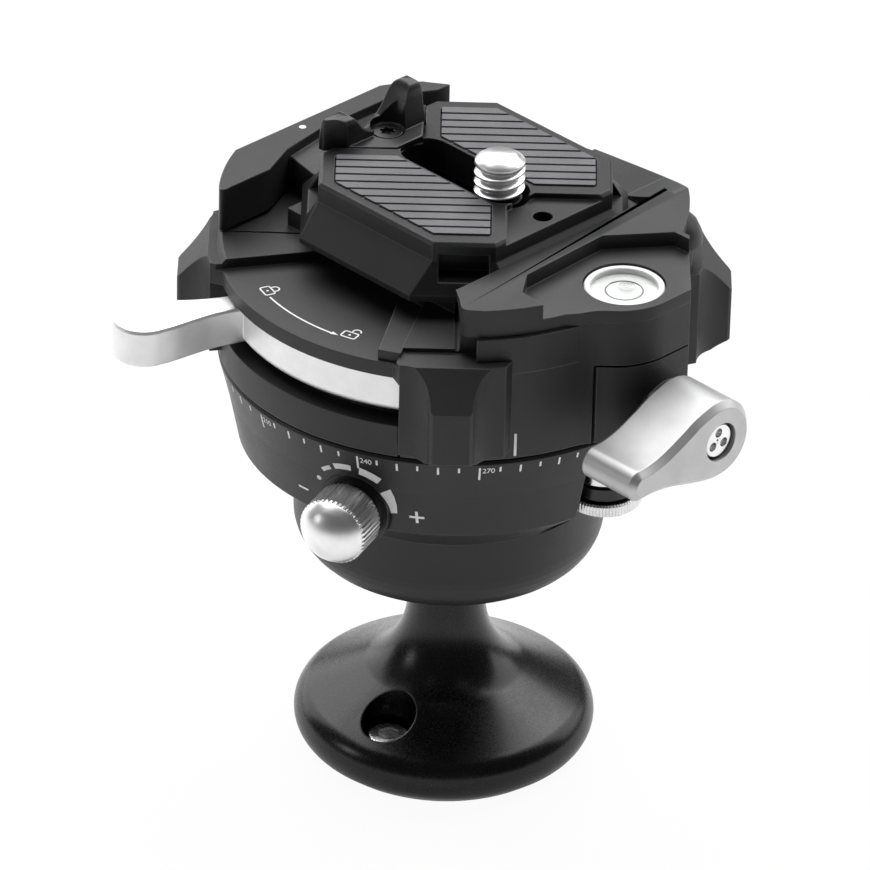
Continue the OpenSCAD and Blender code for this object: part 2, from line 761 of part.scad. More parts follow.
// screw in the end of the main lever, with three blind key holes
module lever_screw() {
    color(steel) translate([lever_x, -lever_back, lever_z]) rotate([90, 0, 0]) difference() {
        union() {
            translate([0, 0, lever_w - 2.2 + eps]) cylinder(r = 1.95, h = 1.6);
            translate([0, 0, -1.6]) cylinder(r = 1.5, h = lever_w - 0.6 + eps);
        }
        for (a = [90 : 120 : 330])
            rotate(a) translate([0.95, 0, lever_w - 1.5]) cylinder(r = 0.42, h = 3);
    }
}

// steel shaft of the main lever
module lever_shaft() {
    color(steel) translate([lever_x, 0, lever_z]) rotate([90, 0, 0]) difference() {
        union() {
            translate([0, 0, shaft_in]) cylinder(r = shaft_r, h = shaft_out - shaft_in);
            translate([0, 0, boss_face + seat_gap])
                cylinder(r = bush_r - 0.6, h = washer_in - boss_face - seat_gap - eps);
        }
        translate([0, 0, shaft_out - 3]) cylinder(r = 1.52, h = 5);
    }
}

// bright washer between shaft collar and lever
module lever_washer() {
    color(steel) translate([lever_x, 0, lever_z]) rotate([90, 0, 0])
        tube(washer_r, shaft_r + 0.02, washer_in, lever_back - eps);
}

// side profile of the plate, for a given foot and top half width
module plate_profile(foot_half, top_half) {
    polygon([[-foot_half, plate_bottom], [foot_half, plate_bottom], [foot_half, flare_low],
             [top_half, flare_high], [top_half, plate_top - 0.4], [top_half - 0.4, plate_top],
             [-top_half + 0.4, plate_top], [-top_half, plate_top - 0.4], [-top_half, flare_high],
             [-foot_half, flare_low]]);
}

// outline of the right pad, seen from above, measured from the plate's middle
module pad_outline(grow) {
    inner = 3.8 - grow;
    outer = 14 + grow;
    side = 13.4 + grow;
    cut = 5.2;
    corner = 4.7;
    polygon([[inner, -side + cut], [inner + cut, -side], [outer - corner, -side], [outer, -side + corner],
             [outer, side - corner], [outer - corner, side], [inner + cut, side], [inner, side - cut]]);
}

// outline of the land at the plate's end, widening outwards between the pads
module land_outline(less) {
    inner = land_half - less;
    far = plate_half - land_y;
    polygon([[-inner, land_y + less], [inner, land_y + less], [inner + far, plate_half],
             [-inner - far, plate_half]]);
}

// quick release plate with dovetails on all four sides
module plate_body() {
    corner_top = 18.15;
    corner_foot = 20.3;
    color(charcoal) translate([plate_x, plate_y, 0]) difference() {
        intersection() {
            rotate([90, 0, 0]) translate([0, 0, -30]) linear_extrude(60)
                plate_profile(plate_half, plate_top_half);
            rotate([90, 0, 90]) translate([0, 0, -30]) linear_extrude(60)
                plate_profile(plate_half, plate_top_half);
            for (a = [45, 135]) intersection_for(b = [45, 135]) rotate(b) rotate([90, 0, 0])
                translate([0, 0, -30]) linear_extrude(60) plate_profile(corner_foot, corner_top);
        }
        for (s = [0, 180]) rotate(s) {
            translate([0, 0, plate_top - pad_depth]) linear_extrude(5) pad_outline(0.12);
            translate([0, 0, plate_top - land_depth]) linear_extrude(5) land_outline(0);
        }
        translate([-slot_half, slot_from, plate_bottom - 1]) cube([2 * slot_half, slot_to - slot_from, 20]);
        for (y = [slot_from, slot_to]) translate([0, y, plate_bottom - 1]) cylinder(r = slot_half, h = 20);
        translate([-7.2, slot_from - 4.6, plate_bottom - 1]) cube([14.4, slot_to - slot_from + 9.2, 3.6]);
        translate([0, -accessory_y, plate_top - 3.6]) cylinder(r = accessory_r, h = 10);
        translate([0, bracket_y, plate_top - 3.6]) cylinder(r = bracket_shank_r + 0.05, h = 10);
        for (a = [45 : 90 : 315]) rotate(a) translate([16.2, -3.1, 77.6]) cube([10, 6.2, 3.2]);
    }
}

// ribbed rubber pad; side 0 is the right one, 180 the left one
module pad(side) {
    color(rubber) translate([plate_x, plate_y, 0]) difference() {
        rotate(side) translate([0, 0, plate_top - pad_depth + eps]) linear_extrude(pad_depth + pad_proud)
            pad_outline(0);
        for (i = [-pad_ribs : pad_ribs])
            rotate(-45) translate([-30, i * rib_pitch - 0.2, plate_top + pad_proud - 0.3]) cube([60, 0.4, 2]);
    }
}

module pad_right() {
    pad(0);
}

module pad_left() {
    pad(180);
}

// one horn of the anti-twist bracket: what its front and its side outline have in common
module horn(front, edge) {
    intersection() {
        rotate([90, 0, 0]) translate([0, 0, -30]) linear_extrude(60) polygon(front);
        rotate([90, 0, 90]) translate([0, 0, -30]) linear_extrude(60) polygon(edge);
    }
}

// anti-twist bracket: wedge-shaped base in the plate's land, tall fin, low horn and saddle
module twist_bracket() {
    low = plate_top - land_depth + eps;
    top = plate_top + bracket_rise;
    foot = plate_top + 0.02;
    hole_r = bracket_shank_r + 0.15;
    mouth_r = bracket_screw_r + 0.35;
    color(black) translate([plate_x, plate_y, 0]) difference() {
        union() {
            translate([0, 0, low]) linear_extrude(top - low) intersection() {
                land_outline(0.1);
                translate([-20, 0]) square([40, plate_top_half - 0.1]);
            }
            horn([[0.4, foot], [0.4, top + 0.8], [1.7, top + 1.8], [3.1, top + 4.6], [4, top + 5.4],
                  [5.2, top + 5.2], [6, top + 4.1], [6.6, top + 1], [6.6, foot]],
                 [[12.4, foot], [12.4, top], [13.6, top + 2.4], [14.1, top + 4.8], [14.8, top + 5.4],
                  [15.7, top + 5.4], [16.5, top + 4.1], [16.8, foot]]);
            horn([[-8.8, foot], [-8.8, top + 3.1], [-8.1, top + 3.8], [-5.6, top + 3.8], [-4.4, top + 2.9],
                  [-2.6, top + 0.6], [-2, foot]],
                 [[13.7, foot], [13.7, top], [14.7, top + 2], [15.2, top + 3.5], [15.8, top + 3.8],
                  [16.6, top + 3.8], [17, top + 3.2], [17, foot]]);
            translate([-4, 15.2, foot]) cube([6, 1.6, 1]);
        }
        translate([0, bracket_y, 0]) {
            translate([0, 0, low - 1]) cylinder(r = hole_r, h = 10);
            translate([0, 0, foot]) cylinder(r = mouth_r, h = 10);
            translate([0, 0, low]) cylinder(r1 = hole_r, r2 = mouth_r, h = foot - low);
        }
    }
}

// countersunk screw of the bracket with a six-lobe recess
module bracket_screw() {
    low = plate_top - land_depth;
    lobe_at = 0.75;
    color(steel) translate([plate_x, plate_y + bracket_y, 0]) difference() {
        union() {
            translate([0, 0, plate_top - 3.2]) cylinder(r = bracket_shank_r, h = 3.2);
            translate([0, 0, low]) cylinder(r1 = bracket_shank_r, r2 = bracket_screw_r, h = land_depth);
        }
        translate([0, 0, plate_top - 0.6]) {
            cylinder(r = lobe_at, h = 3);
            for (a = [0 : 60 : 300]) rotate(a) translate([lobe_at, 0, 0]) cylinder(r = 0.26, h = 3);
        }
    }
}

// retainer that lets the camera screw slide along the slot
module screw_slider() {
    color(black) translate([plate_x, plate_y, 0]) difference() {
        union() {
            translate([-7.1, screw_y - 4.3, plate_bottom + 1.2]) cube([14.2, 8.6, 1.3]);
            translate([0, screw_y, plate_bottom + 1.2]) cylinder(r = slot_half - slider_slack, h = 4.8);
        }
        translate([0, screw_y, plate_bottom - 1]) cylinder(r = 2.5, h = 20);
    }
}

// camera screw: threaded end, plain shank and slotted head underneath
module camera_screw() {
    crests = floor(camera_thread_len / camera_pitch) - 1;
    core_thread_r = camera_thread_r - 0.61 * camera_pitch;
    base = plate_top + 0.3;
    top = plate_top + camera_thread_len;
    color(steel) translate([plate_x, plate_y + screw_y, 0]) difference() {
        union() {
            translate([0, 0, plate_bottom + 0.2]) cylinder(r = 4, h = 0.94);
            translate([0, 0, plate_bottom + 0.3]) cylinder(r = 2.44, h = top - plate_bottom - 0.8);
            rotate_extrude() polygon(concat(
                [[0, base], [core_thread_r, base]],
                [for (i = [0 : crests]) each [
                    [core_thread_r, base + i * camera_pitch + 0.08],
                    [camera_thread_r, base + i * camera_pitch + 0.5],
                    [camera_thread_r, base + i * camera_pitch + 0.78],
                    [core_thread_r, base + (i + 1) * camera_pitch - 0.02]]],
                [[core_thread_r, top - 0.5], [core_thread_r - 0.5, top], [0, top]]));
        }
        translate([-5, -0.6, plate_bottom - 1]) cube([10, 1.2, 1.8]);
    }
}

base_foot();
foot_lock_screw();
ball();
ball_housing();
knob_seat();
pressure_cup();
thrust_ring();
friction_knob();
friction_shaft();
pan_lock_wheel();
pan_lock_hub();
pan_lock_pin();
pan_shell();
clamp_core();
lock_plunger();
fixed_jaw();
level_body();
level_glass();
moving_jaw();
jaw_tongue();
release_lever();
crank_pin();
main_lever();
lever_screw();
lever_shaft();
lever_washer();
plate_body();
pad_right();
pad_left();
twist_bracket();
bracket_screw();
screw_slider();
camera_screw();
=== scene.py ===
import logging
import math
from collections.abc import Callable, Iterator, Sequence
from contextlib import contextmanager
from dataclasses import dataclass, field
from enum import Enum
from itertools import pairwise

import bmesh
import bpy
from mathutils import Matrix, Vector


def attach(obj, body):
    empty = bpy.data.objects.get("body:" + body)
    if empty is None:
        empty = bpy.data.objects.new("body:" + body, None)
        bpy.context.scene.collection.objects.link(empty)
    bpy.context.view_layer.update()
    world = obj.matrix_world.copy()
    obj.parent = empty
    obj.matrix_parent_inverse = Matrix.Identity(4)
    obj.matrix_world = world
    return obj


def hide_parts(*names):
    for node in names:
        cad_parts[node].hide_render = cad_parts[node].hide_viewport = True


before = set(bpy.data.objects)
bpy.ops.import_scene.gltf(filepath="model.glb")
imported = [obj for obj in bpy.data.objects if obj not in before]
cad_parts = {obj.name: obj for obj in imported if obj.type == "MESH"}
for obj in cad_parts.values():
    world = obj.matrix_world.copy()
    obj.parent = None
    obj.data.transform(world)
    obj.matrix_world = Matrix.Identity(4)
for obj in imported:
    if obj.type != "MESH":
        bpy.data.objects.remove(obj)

# One millimetre in metres, and distances in metres that count as none.
MM = 0.001
WELD = 1e-7
TOUCH = 1e-6
# Direction of the photograph's front about the Z axis, in degrees.
FRONT = -135.0
LOG = logging.getLogger("ball_head")

Point = Sequence[float]
Outline = list[tuple[float, float]]
Piece = bpy.types.Object
Socket = bpy.types.NodeSocket


class Pick(Enum):
    """Kinds of mesh element that a selection names."""

    VERT = "VERT"
    EDGE = "EDGE"
    FACE = "FACE"


class Cut(Enum):
    """What a second solid does to the first."""

    OFF = "DIFFERENCE"
    ON = "UNION"
    KEEP = "INTERSECT"


def arc(centre: Point, radius: float, start: float, end: float, steps: int) -> Outline:
    """Points on an arc in a profile's plane.

    Args:
        centre: Middle of the arc.
        radius: Radius of the arc.
        start: First angle in degrees.
        end: Last angle in degrees.
        steps: Number of segments.

    Returns:
        The points in order.
    """
    angles = (math.radians(start + (end - start) * i / steps) for i in range(steps + 1))
    return [(centre[0] + radius * math.cos(a), centre[1] + radius * math.sin(a)) for a in angles]


def smooth_chain(points: Sequence[Point], steps: int) -> Outline:
    """A smooth curve through points.

    Args:
        points: The points that the curve passes.
        steps: Segments between two points.

    Returns:
        The curve's points in order.
    """
    last = len(points) - 1
    made: Outline = []
    for i in range(last):
        p0, p1, p2, p3 = (Vector(points[min(max(i + k, 0), last)]) for k in (-1, 0, 1, 2))
        for s in range(steps):
            t = s / steps
            spot = 0.5 * (2 * p1 + (p2 - p0) * t + (2 * p0 - 5 * p1 + 4 * p2 - p3) * t * t
                          + (3 * p1 - p0 - 3 * p2 + p3) * t ** 3)
            made.append((spot.x, spot.y))
    return [*made, tuple(points[-1])]


# ------------------------------------------------------------------ bench


def deselect() -> None:
    """Leave edit mode and drop every selection."""
    if bpy.context.object and bpy.context.object.mode != "OBJECT":
        bpy.ops.object.mode_set(mode="OBJECT")
    bpy.ops.object.select_all(action="DESELECT")


def take(obj: Piece) -> None:
    """Make one object the selected and active one."""
    deselect()
    obj.select_set(True)
    bpy.context.view_layer.objects.active = obj


@contextmanager
def editing(obj: Piece, kind: Pick = Pick.VERT) -> Iterator[None]:
    """Work on one mesh in edit mode.

    Args:
        obj: The mesh object.
        kind: The kind of element that is selected.
    """
    take(obj)
    bpy.ops.object.mode_set(mode="EDIT")
    bpy.ops.mesh.select_mode(type=kind.value)
    try:
        yield
    finally:
        bpy.ops.object.mode_set(mode="OBJECT")


def choose(obj: Piece, kind: Pick,
           test: Callable[[bmesh.types.BMVert | bmesh.types.BMEdge], bool]) -> None:
    """Select the elements that pass a test, in edit mode.

    Args:
        obj: The mesh object in edit mode.
        kind: The kind of element to select.
        test: Says of an element whether it is selected.
    """
    bpy.ops.mesh.select_mode(type=kind.value)
    mesh = bmesh.from_edit_mesh(obj.data)
    for group in (mesh.faces, mesh.edges, mesh.verts):
        for item in group:
            item.select = False
    for item in {Pick.VERT: mesh.verts, Pick.EDGE: mesh.edges, Pick.FACE: mesh.faces}[kind]:
        if test(item):
            item.select_set(True)
    mesh.select_flush_mode()
    bmesh.update_edit_mesh(obj.data)


def extrude(way: Point) -> None:
    """Extrude what is selected along a way in metres."""
    bpy.ops.mesh.extrude_region_move(TRANSFORM_OT_translate={"value": way})


def widen(factor: float, height: float) -> None:
    """Scale what is selected about the Z axis, in the plane of a height in millimetres."""
    bpy.ops.transform.resize(value=(factor, factor, 1.0), center_override=(0, 0, height * MM))


def named(name: str) -> Piece:
    """Name the object that was made last, and its mesh."""
    obj = bpy.context.object
    obj.name = obj.data.name = name
    return obj


def new_chain(name: str, points: Sequence[Point]) -> Piece:
    """Draw a chain of edges by extruding one vertex along points.

    Args:
        name: Name of the object.
        points: Points in millimetres.

    Returns:
        The object with the chain.
    """
    deselect()
    bpy.ops.mesh.primitive_plane_add(size=MM, location=(0, 0, 0))
    obj = named(name)
    spots = [Vector(p) for p in points]
    with editing(obj):
        bpy.ops.mesh.select_all(action="SELECT")
        bpy.ops.mesh.merge(type="CENTER")
        bpy.ops.transform.translate(value=spots[0] * MM)
        for here, there in pairwise(spots):
            extrude((there - here) * MM)
    return obj


def tidy_mesh(obj: Piece, angle: float = 35.0) -> Piece:
    """Merge doubles, turn normals outwards and smooth the shallow edges.

    Args:
        obj: The mesh object.
        angle: Edges flatter than this many degrees are smoothed.

    Returns:
        The same object.
    """
    with editing(obj):
        bpy.ops.mesh.select_all(action="SELECT")
        bpy.ops.mesh.remove_doubles(threshold=WELD * 10)
        bpy.ops.mesh.normals_make_consistent(inside=False)
    take(obj)
    bpy.ops.object.shade_smooth_by_angle(angle=math.radians(angle))
    return obj


def lathe(name: str, profile: Sequence[Point], steps: int = 96, closed: bool = False) -> Piece:
    """Turn a profile of radius and height about the Z axis.

    Args:
        name: Name of the object.
        profile: Points of radius and height in millimetres.
        steps: Segments of the full turn.
        closed: Whether the profile is a ring that returns to its start.

    Returns:
        The turned piece.
    """
    chain = list(profile) + ([profile[0]] if closed else [])
    obj = new_chain(name, [(r, 0, h) for r, h in chain])
    with editing(obj):
        bpy.ops.mesh.select_all(action="SELECT")
        bpy.ops.mesh.spin(steps=steps, angle=math.tau, center=(0, 0, 0), axis=(0, 0, 1), use_auto_merge=True)
    return tidy_mesh(obj)


def prism(name: str, outline: Sequence[Point], low: float, high: float) -> Piece:
    """Raise a closed outline into a solid.

    Args:
        name: Name of the object.
        outline: Points of the outline in millimetres, without the last one repeated.
        low: Height of the lower face.
        high: Height of the upper face.

    Returns:
        The solid.
    """
    obj = new_chain(name, [(x, y, low) for x, y in outline])
    with editing(obj):
        bpy.ops.mesh.select_all(action="SELECT")
        bpy.ops.mesh.edge_face_add()
        extrude((0, 0, (high - low) * MM))
    return tidy_mesh(obj)


def block(name: str, low: Point, high: Point) -> Piece:
    """A box between two corners, to be shaped further."""
    deselect()
    middle = [(a + b) / 2 * MM for a, b in zip(low, high)]
    size = [(b - a) * MM for a, b in zip(low, high)]
    bpy.ops.mesh.primitive_cube_add(size=1, location=middle, scale=size)
    return settle(named(name))


def rod(name: str, radius: float, low: float, high: float, sides: int = 64) -> Piece:
    """A plain cylinder along Z, used as a cutter."""
    deselect()
    bpy.ops.mesh.primitive_cylinder_add(
        vertices=sides, radius=radius * MM, depth=(high - low) * MM, location=(0, 0, (low + high) / 2 * MM))
    return settle(named(name))


def settle(obj: Piece, where: Matrix | None = None) -> Piece:
    """Put an object's place and turn into its mesh.

    Args:
        obj: The object.
        where: Placement in metres that is applied first.

    Returns:
        The same object, at the origin.
    """
    if where is not None:
        obj.matrix_world = where @ obj.matrix_world
    take(obj)
    bpy.ops.object.transform_apply(location=True, rotation=True, scale=True)
    return obj


def at(x: float = 0, y: float = 0, z: float = 0) -> Matrix:
    """A shift by millimetres."""
    return Matrix.Translation(Vector((x, y, z)) * MM)


def turned(degrees: float, axis: str = "Z") -> Matrix:
    """A turn about one of the axes."""
    return Matrix.Rotation(math.radians(degrees), 4, axis)


def apply_modifier(obj: Piece, kind: str, **values: object) -> None:
    """Add a modifier and apply it at once."""
    take(obj)
    modifier = obj.modifiers.new(kind.lower(), kind)
    for key, value in values.items():
        setattr(modifier, key, value)
    bpy.ops.object.modifier_apply(modifier=modifier.name)


def cut(obj: Piece, tool: Piece, how: Cut = Cut.OFF) -> Piece:
    """Combine two solids and drop the second.

    Args:
        obj: The solid that stays.
        tool: The solid that is used up.
        how: The kind of combination.

    Returns:
        The first solid.
    """
    apply_modifier(obj, "BOOLEAN", object=tool, operation=how.value, solver="EXACT")
    bpy.data.objects.remove(tool, do_unlink=True)
    return obj


def ease(obj: Piece, width: float, segments: int = 3, angle: float = 40.0) -> Piece:
    """Round the edges that are sharper than an angle.

    Args:
        obj: The solid.
        width: Width of the rounding in millimetres.
        segments: Segments across the rounding.
        angle: Edges sharper than this many degrees are rounded.

    Returns:
        The same solid.
    """
    apply_modifier(obj, "BEVEL", width=width * MM, segments=segments, limit_method="ANGLE",
                   angle_limit=math.radians(angle), use_clamp_overlap=True)
    return tidy_mesh(obj)


def bevel_level(obj: Piece, height: float, width: float, segments: int, past: float = 0.0) -> None:
    """Bevel the edges that lie at one height.

    Args:
        obj: The solid.
        height: Height of the edges in millimetres.
        width: Width of the bevel in millimetres.
        segments: Segments across the bevel.
        past: Edges nearer to the Z axis than this many millimetres stay sharp.
    """
    with editing(obj, Pick.EDGE):
        choose(obj, Pick.EDGE, lambda e: all(abs(v.co.z - height * MM) < TOUCH
                                             and v.co.xy.length >= past * MM for v in e.verts))
        bpy.ops.mesh.bevel(offset=width * MM, offset_type="OFFSET", segments=segments, profile=0.5,
                           affect="EDGES")


def join(name: str, *parts: Piece) -> Piece:
    """Join objects into the first one and name it."""
    take(parts[0])
    for part in parts[1:]:
        part.select_set(True)
    bpy.ops.object.join()
    return named(name)


def knurled(name: str, radius: float, depth: float, count: int, rings: Sequence[Point]) -> Piece:
    """A cylinder with straight grooves round it.

    Args:
        name: Name of the object.
        radius: Radius over the crests.
        depth: Depth of a groove.
        count: Number of grooves.
        rings: Height and scale of each ring, from the lower face to the upper.

    Returns:
        The knurled piece.
    """
    per_groove = 4
    low_end, first = rings[0]
    deselect()
    bpy.ops.mesh.primitive_circle_add(
        vertices=count * per_groove, radius=radius * MM, location=(0, 0, low_end * MM))
    obj = settle(named(name))
    with editing(obj):
        choose(obj, Pick.VERT, lambda v: v.index % per_groove == per_groove - 1)
        widen(1 - depth / radius, low_end)
        bpy.ops.mesh.select_all(action="SELECT")
        widen(first, low_end)
        bpy.ops.mesh.edge_face_add()
        for (low, before), (high, after) in pairwise(rings):
            extrude((0, 0, (high - low) * MM))
            widen(after / before, high)
    return tidy_mesh(obj, 20)


def threaded(name: str, radius: float, pitch: float, low: float, turns: float, depth: float) -> Piece:
    """A helical thread ridge round the Z axis.

    Args:
        name: Name of the object.
        radius: Radius over the crests.
        pitch: Rise in one turn.
        low: Height at which the ridge starts.
        turns: Number of turns.
        depth: Depth of the thread.

    Returns:
        The ridge, closed at both ends.
    """
    core = radius - depth
    inside, flank, crest = core - 0.15, core + depth * 0.8, radius - 0.02
    tooth = [(inside, 0), (core, 0.06), (flank, 0.38), (crest, 0.47), (radius, 0.55),
             (radius, 0.63), (crest, 0.71), (flank, 0.8), (core, 1.12), (inside, 1.18)]
    tooth_height = 1.2
    steps = int(72 * turns)
    obj = new_chain(name, [(r, 0, low + h) for r, h in tooth + tooth[:1]])
    with editing(obj):
        bpy.ops.mesh.select_all(action="SELECT")
        bpy.ops.mesh.remove_doubles(threshold=WELD)
    apply_modifier(obj, "SCREW", angle=math.tau * turns, screw_offset=pitch * turns * MM, steps=steps,
                   render_steps=steps, axis="Z", use_merge_vertices=False)
    with editing(obj):
        for end in (0, 1):
            angle = math.tau * turns * end
            way = Vector((math.cos(angle), math.sin(angle), 0))
            side = Vector((-way.y, way.x, 0))
            rise = pitch * turns * end * MM
            choose(obj, Pick.VERT, lambda v: abs(v.co.dot(side)) < TOUCH and v.co.dot(way) > 0
                   and low * MM + rise - TOUCH <= v.co.z <= (low + tooth_height) * MM + rise
                   and any(e.is_boundary for e in v.link_edges))
            bpy.ops.mesh.edge_face_add()
            bpy.ops.transform.translate(value=way * -depth * 1.1 * MM)
    return tidy_mesh(obj)


# ---------------------------------------------------------------- finishes


class Graph:
    """A node tree, with short calls to add and link nodes."""

    def __init__(self, tree: bpy.types.NodeTree) -> None:
        """Take over a tree and empty it."""
        self.tree = tree
        tree.nodes.clear()

    def node(self, kind: str, **values: object) -> bpy.types.Node:
        """Add a node and set its own values or its inputs' values.

        Args:
            kind: Blender's name of the node.
            values: Node properties, or input values with spaces as underscores.

        Returns:
            The node.
        """
        made = self.tree.nodes.new(kind)
        for key, value in values.items():
            if hasattr(made, key):
                setattr(made, key, value)
            else:
                made.inputs[key.replace("_", " ")].default_value = value
        return made

    def feed(self, value: Socket | float | Point, into: Socket) -> None:
        """Link an output to an input, or set the input's plain value."""
        if isinstance(value, Socket):
            self.tree.links.new(value, into)
        else:
            into.default_value = value

    def combine(self, operation: str, first: Socket | float, second: Socket | float) -> Socket:
        """Work out one number from two."""
        made = self.node("ShaderNodeMath", operation=operation)
        self.feed(first, made.inputs[0])
        self.feed(second, made.inputs[1])
        return made.outputs["Value"]

    def blend(self, share: Socket, first: Socket, second: Socket) -> Socket:
        """Mix two shaders, the second one by its share."""
        made = self.node("ShaderNodeMixShader")
        for value, into in zip((share, first, second), made.inputs):
            self.feed(value, into)
        return made.outputs["Shader"]

    def rays(self, kind: str) -> Socket:
        """1 for rays of one kind, else 0."""
        return self.node("ShaderNodeLightPath").outputs[kind]


class Sheet(Graph):
    """A material's node graph, with what the finishes share."""

    def __init__(self, name: str) -> None:
        """Start a material with its output and surface shader."""
        self.material = bpy.data.materials.new(name)
        self.material.use_nodes = True
        super().__init__(self.material.node_tree)
        self.output = self.node("ShaderNodeOutputMaterial")
        self.surface = self.node("ShaderNodeBsdfPrincipled")
        self.feed(self.surface.outputs["BSDF"], self.output.inputs["Surface"])

    def place(self, shift: Point = (0, 0, 0), turn: Point = (0, 0, 0)) -> Socket:
        """Object coordinates after a shift and a turn.

        Args:
            shift: Point in millimetres that becomes the middle.
            turn: Turn in degrees.

        Returns:
            The vector output.
        """
        vector = self.node("ShaderNodeTexCoord").outputs["Object"]
        moves = {"Location": [-s * MM for s in shift], "Rotation": [math.radians(t) for t in turn]}
        for key, value in moves.items():
            step = self.node("ShaderNodeMapping")
            step.inputs[key].default_value = value
            self.feed(vector, step.inputs["Vector"])
            vector = step.outputs["Vector"]
        return vector

    def noise(self, vector: Socket, size: float, detail: float = 2.0, rough: float = 0.5) -> Socket:
        """Noise whose features are about one size.

        Args:
            vector: Where it is read.
            size: Size of a feature in millimetres.
            detail: Number of finer layers.
            rough: Strength of the finer layers.

        Returns:
            The noise value.
        """
        made = self.node("ShaderNodeTexNoise", Scale=1 / MM / size, Detail=detail, Roughness=rough)
        self.feed(vector, made.inputs["Vector"])
        return made.outputs["Fac"]

    def spread(self, value: Socket, low: float, high: float, start: float = 0.3, end: float = 0.7) -> Socket:
        """Map a value's range onto another.

        Args:
            value: The value.
            low: Result at the start.
            high: Result at the end.
            start: Value that gives the low result.
            end: Value that gives the high result.

        Returns:
            The mapped value.
        """
        made = self.node("ShaderNodeMapRange", From_Min=start, From_Max=end, To_Min=low, To_Max=high)
        self.feed(value, made.inputs["Value"])
        return made.outputs["Result"]

    def tint(self, value: Socket, dark: Point, light: Point, start: float = 0.3, end: float = 0.7) -> Socket:
        """Blend two colours by a value.

        Args:
            value: The value.
            dark: Colour at the start.
            light: Colour at the end.
            start: Value that gives the first colour.
            end: Value that gives the second colour.

        Returns:
            The colour.
        """
        ramp = self.node("ShaderNodeValToRGB")
        for stop, position, colour in zip(ramp.color_ramp.elements, (start, end), (dark, light)):
            stop.position = position
            stop.color = (*colour, 1)
        self.feed(value, ramp.inputs["Fac"])
        return ramp.outputs["Color"]

    def radius(self, vector: Socket) -> Socket:
        """Distance from the Z axis of a vector's frame."""
        flat = self.node("ShaderNodeVectorMath", operation="MULTIPLY")
        flat.inputs[1].default_value = (1, 1, 0)
        self.feed(vector, flat.inputs[0])
        length = self.node("ShaderNodeVectorMath", operation="LENGTH")
        self.feed(flat.outputs["Vector"], length.inputs[0])
        return length.outputs["Value"]

    def edge(self, radius: float) -> tuple[Socket, Socket]:
        """Rounded normal near edges and a mask of where edges are.

        Args:
            radius: Radius of the rounding in millimetres.

        Returns:
            The normal, and the mask from 0 on faces to 1 on edges.
        """
        soft = self.node("ShaderNodeBevel", samples=6, Radius=radius * MM)
        plain = self.node("ShaderNodeNewGeometry")
        meet = self.node("ShaderNodeVectorMath", operation="DOT_PRODUCT")
        self.feed(soft.outputs["Normal"], meet.inputs[0])
        self.feed(plain.outputs["True Normal"], meet.inputs[1])
        # Agreement of the rounded with the plain normal, on an edge and on a face.
        bent, straight = 0.86, 0.995
        return soft.outputs["Normal"], self.spread(meet.outputs["Value"], 1.0, 0.0, bent, straight)

    def bump(self, height: Socket, depth: float, normal: Socket) -> Socket:
        """Fine relief over a normal.

        Args:
            height: The relief's height from 0 to 1.
            depth: Depth in millimetres.
            normal: Normal to start from.

        Returns:
            The normal.
        """
        made = self.node("ShaderNodeBump", Strength=1.0, Distance=depth * MM)
        self.feed(height, made.inputs["Height"])
        self.feed(normal, made.inputs["Normal"])
        return made.outputs["Normal"]

    def finish(self, **links: Socket | float | Point) -> bpy.types.Material:
        """Set or link the surface's inputs and hand the material over.

        Args:
            links: Inputs by name with underscores for spaces, each an output or a plain value.

        Returns:
            The material.
        """
        for key, value in links.items():
            self.feed(value, self.surface.inputs[key.replace("_", " ")])
        return self.material


def shade(tone: float, *factors: float) -> tuple[float, ...]:
    """A colour from one tone: one factor for its grey, or one for each channel."""
    return tuple(tone * f for f in (factors if len(factors) > 1 else factors * 3))


@dataclass(frozen=True)
class Anodised:
    """Black anodised aluminium: fine blasted grain, slight tone change, edges lighter from wear and from a
    painted highlight.
    """

    name: str
    tone: float = 0.006
    shine: float = 0.40
    grain: float = 0.22
    depth: float = 0.006
    rounding: float = 0.22
    level: float = 0.5
    # Share and colour of the lighter edges: wear together with a painted highlight.
    worn_share: float = 0.5
    worn_colour: tuple[float, float, float, float] = (0.14, 0.14, 0.148, 1)

    def build(self) -> bpy.types.Material:
        """Make the material."""
        sheet = Sheet(self.name)
        here = sheet.place()
        normal, edge_mask = sheet.edge(self.rounding)
        cloud = sheet.noise(here, size=9.0, detail=3.0, rough=0.6)
        fine = sheet.noise(here, size=self.grain, detail=2.0, rough=0.6)
        ground = sheet.tint(cloud, shade(self.tone, 0.86, 0.85, 0.93), shade(self.tone, 1.16, 1.15, 1.26))
        # Edge colour mix: partly wear, partly a painted highlight where rounded edges would catch the light.
        wear_and_highlight = sheet.node("ShaderNodeMix", data_type="RGBA")
        sheet.feed(sheet.combine("MULTIPLY", edge_mask, self.worn_share), wear_and_highlight.inputs["Factor"])
        sheet.feed(ground, wear_and_highlight.inputs[6])
        sheet.feed(self.worn_colour, wear_and_highlight.inputs[7])
        rough = sheet.combine("ADD", sheet.spread(cloud, -0.04, 0.05),
                           sheet.spread(fine, self.shine - 0.05, self.shine + 0.05))
        return sheet.finish(Base_Color=wear_and_highlight.outputs[2], Roughness=rough,
                            Normal=sheet.bump(fine, self.depth, normal), Specular_IOR_Level=self.level)


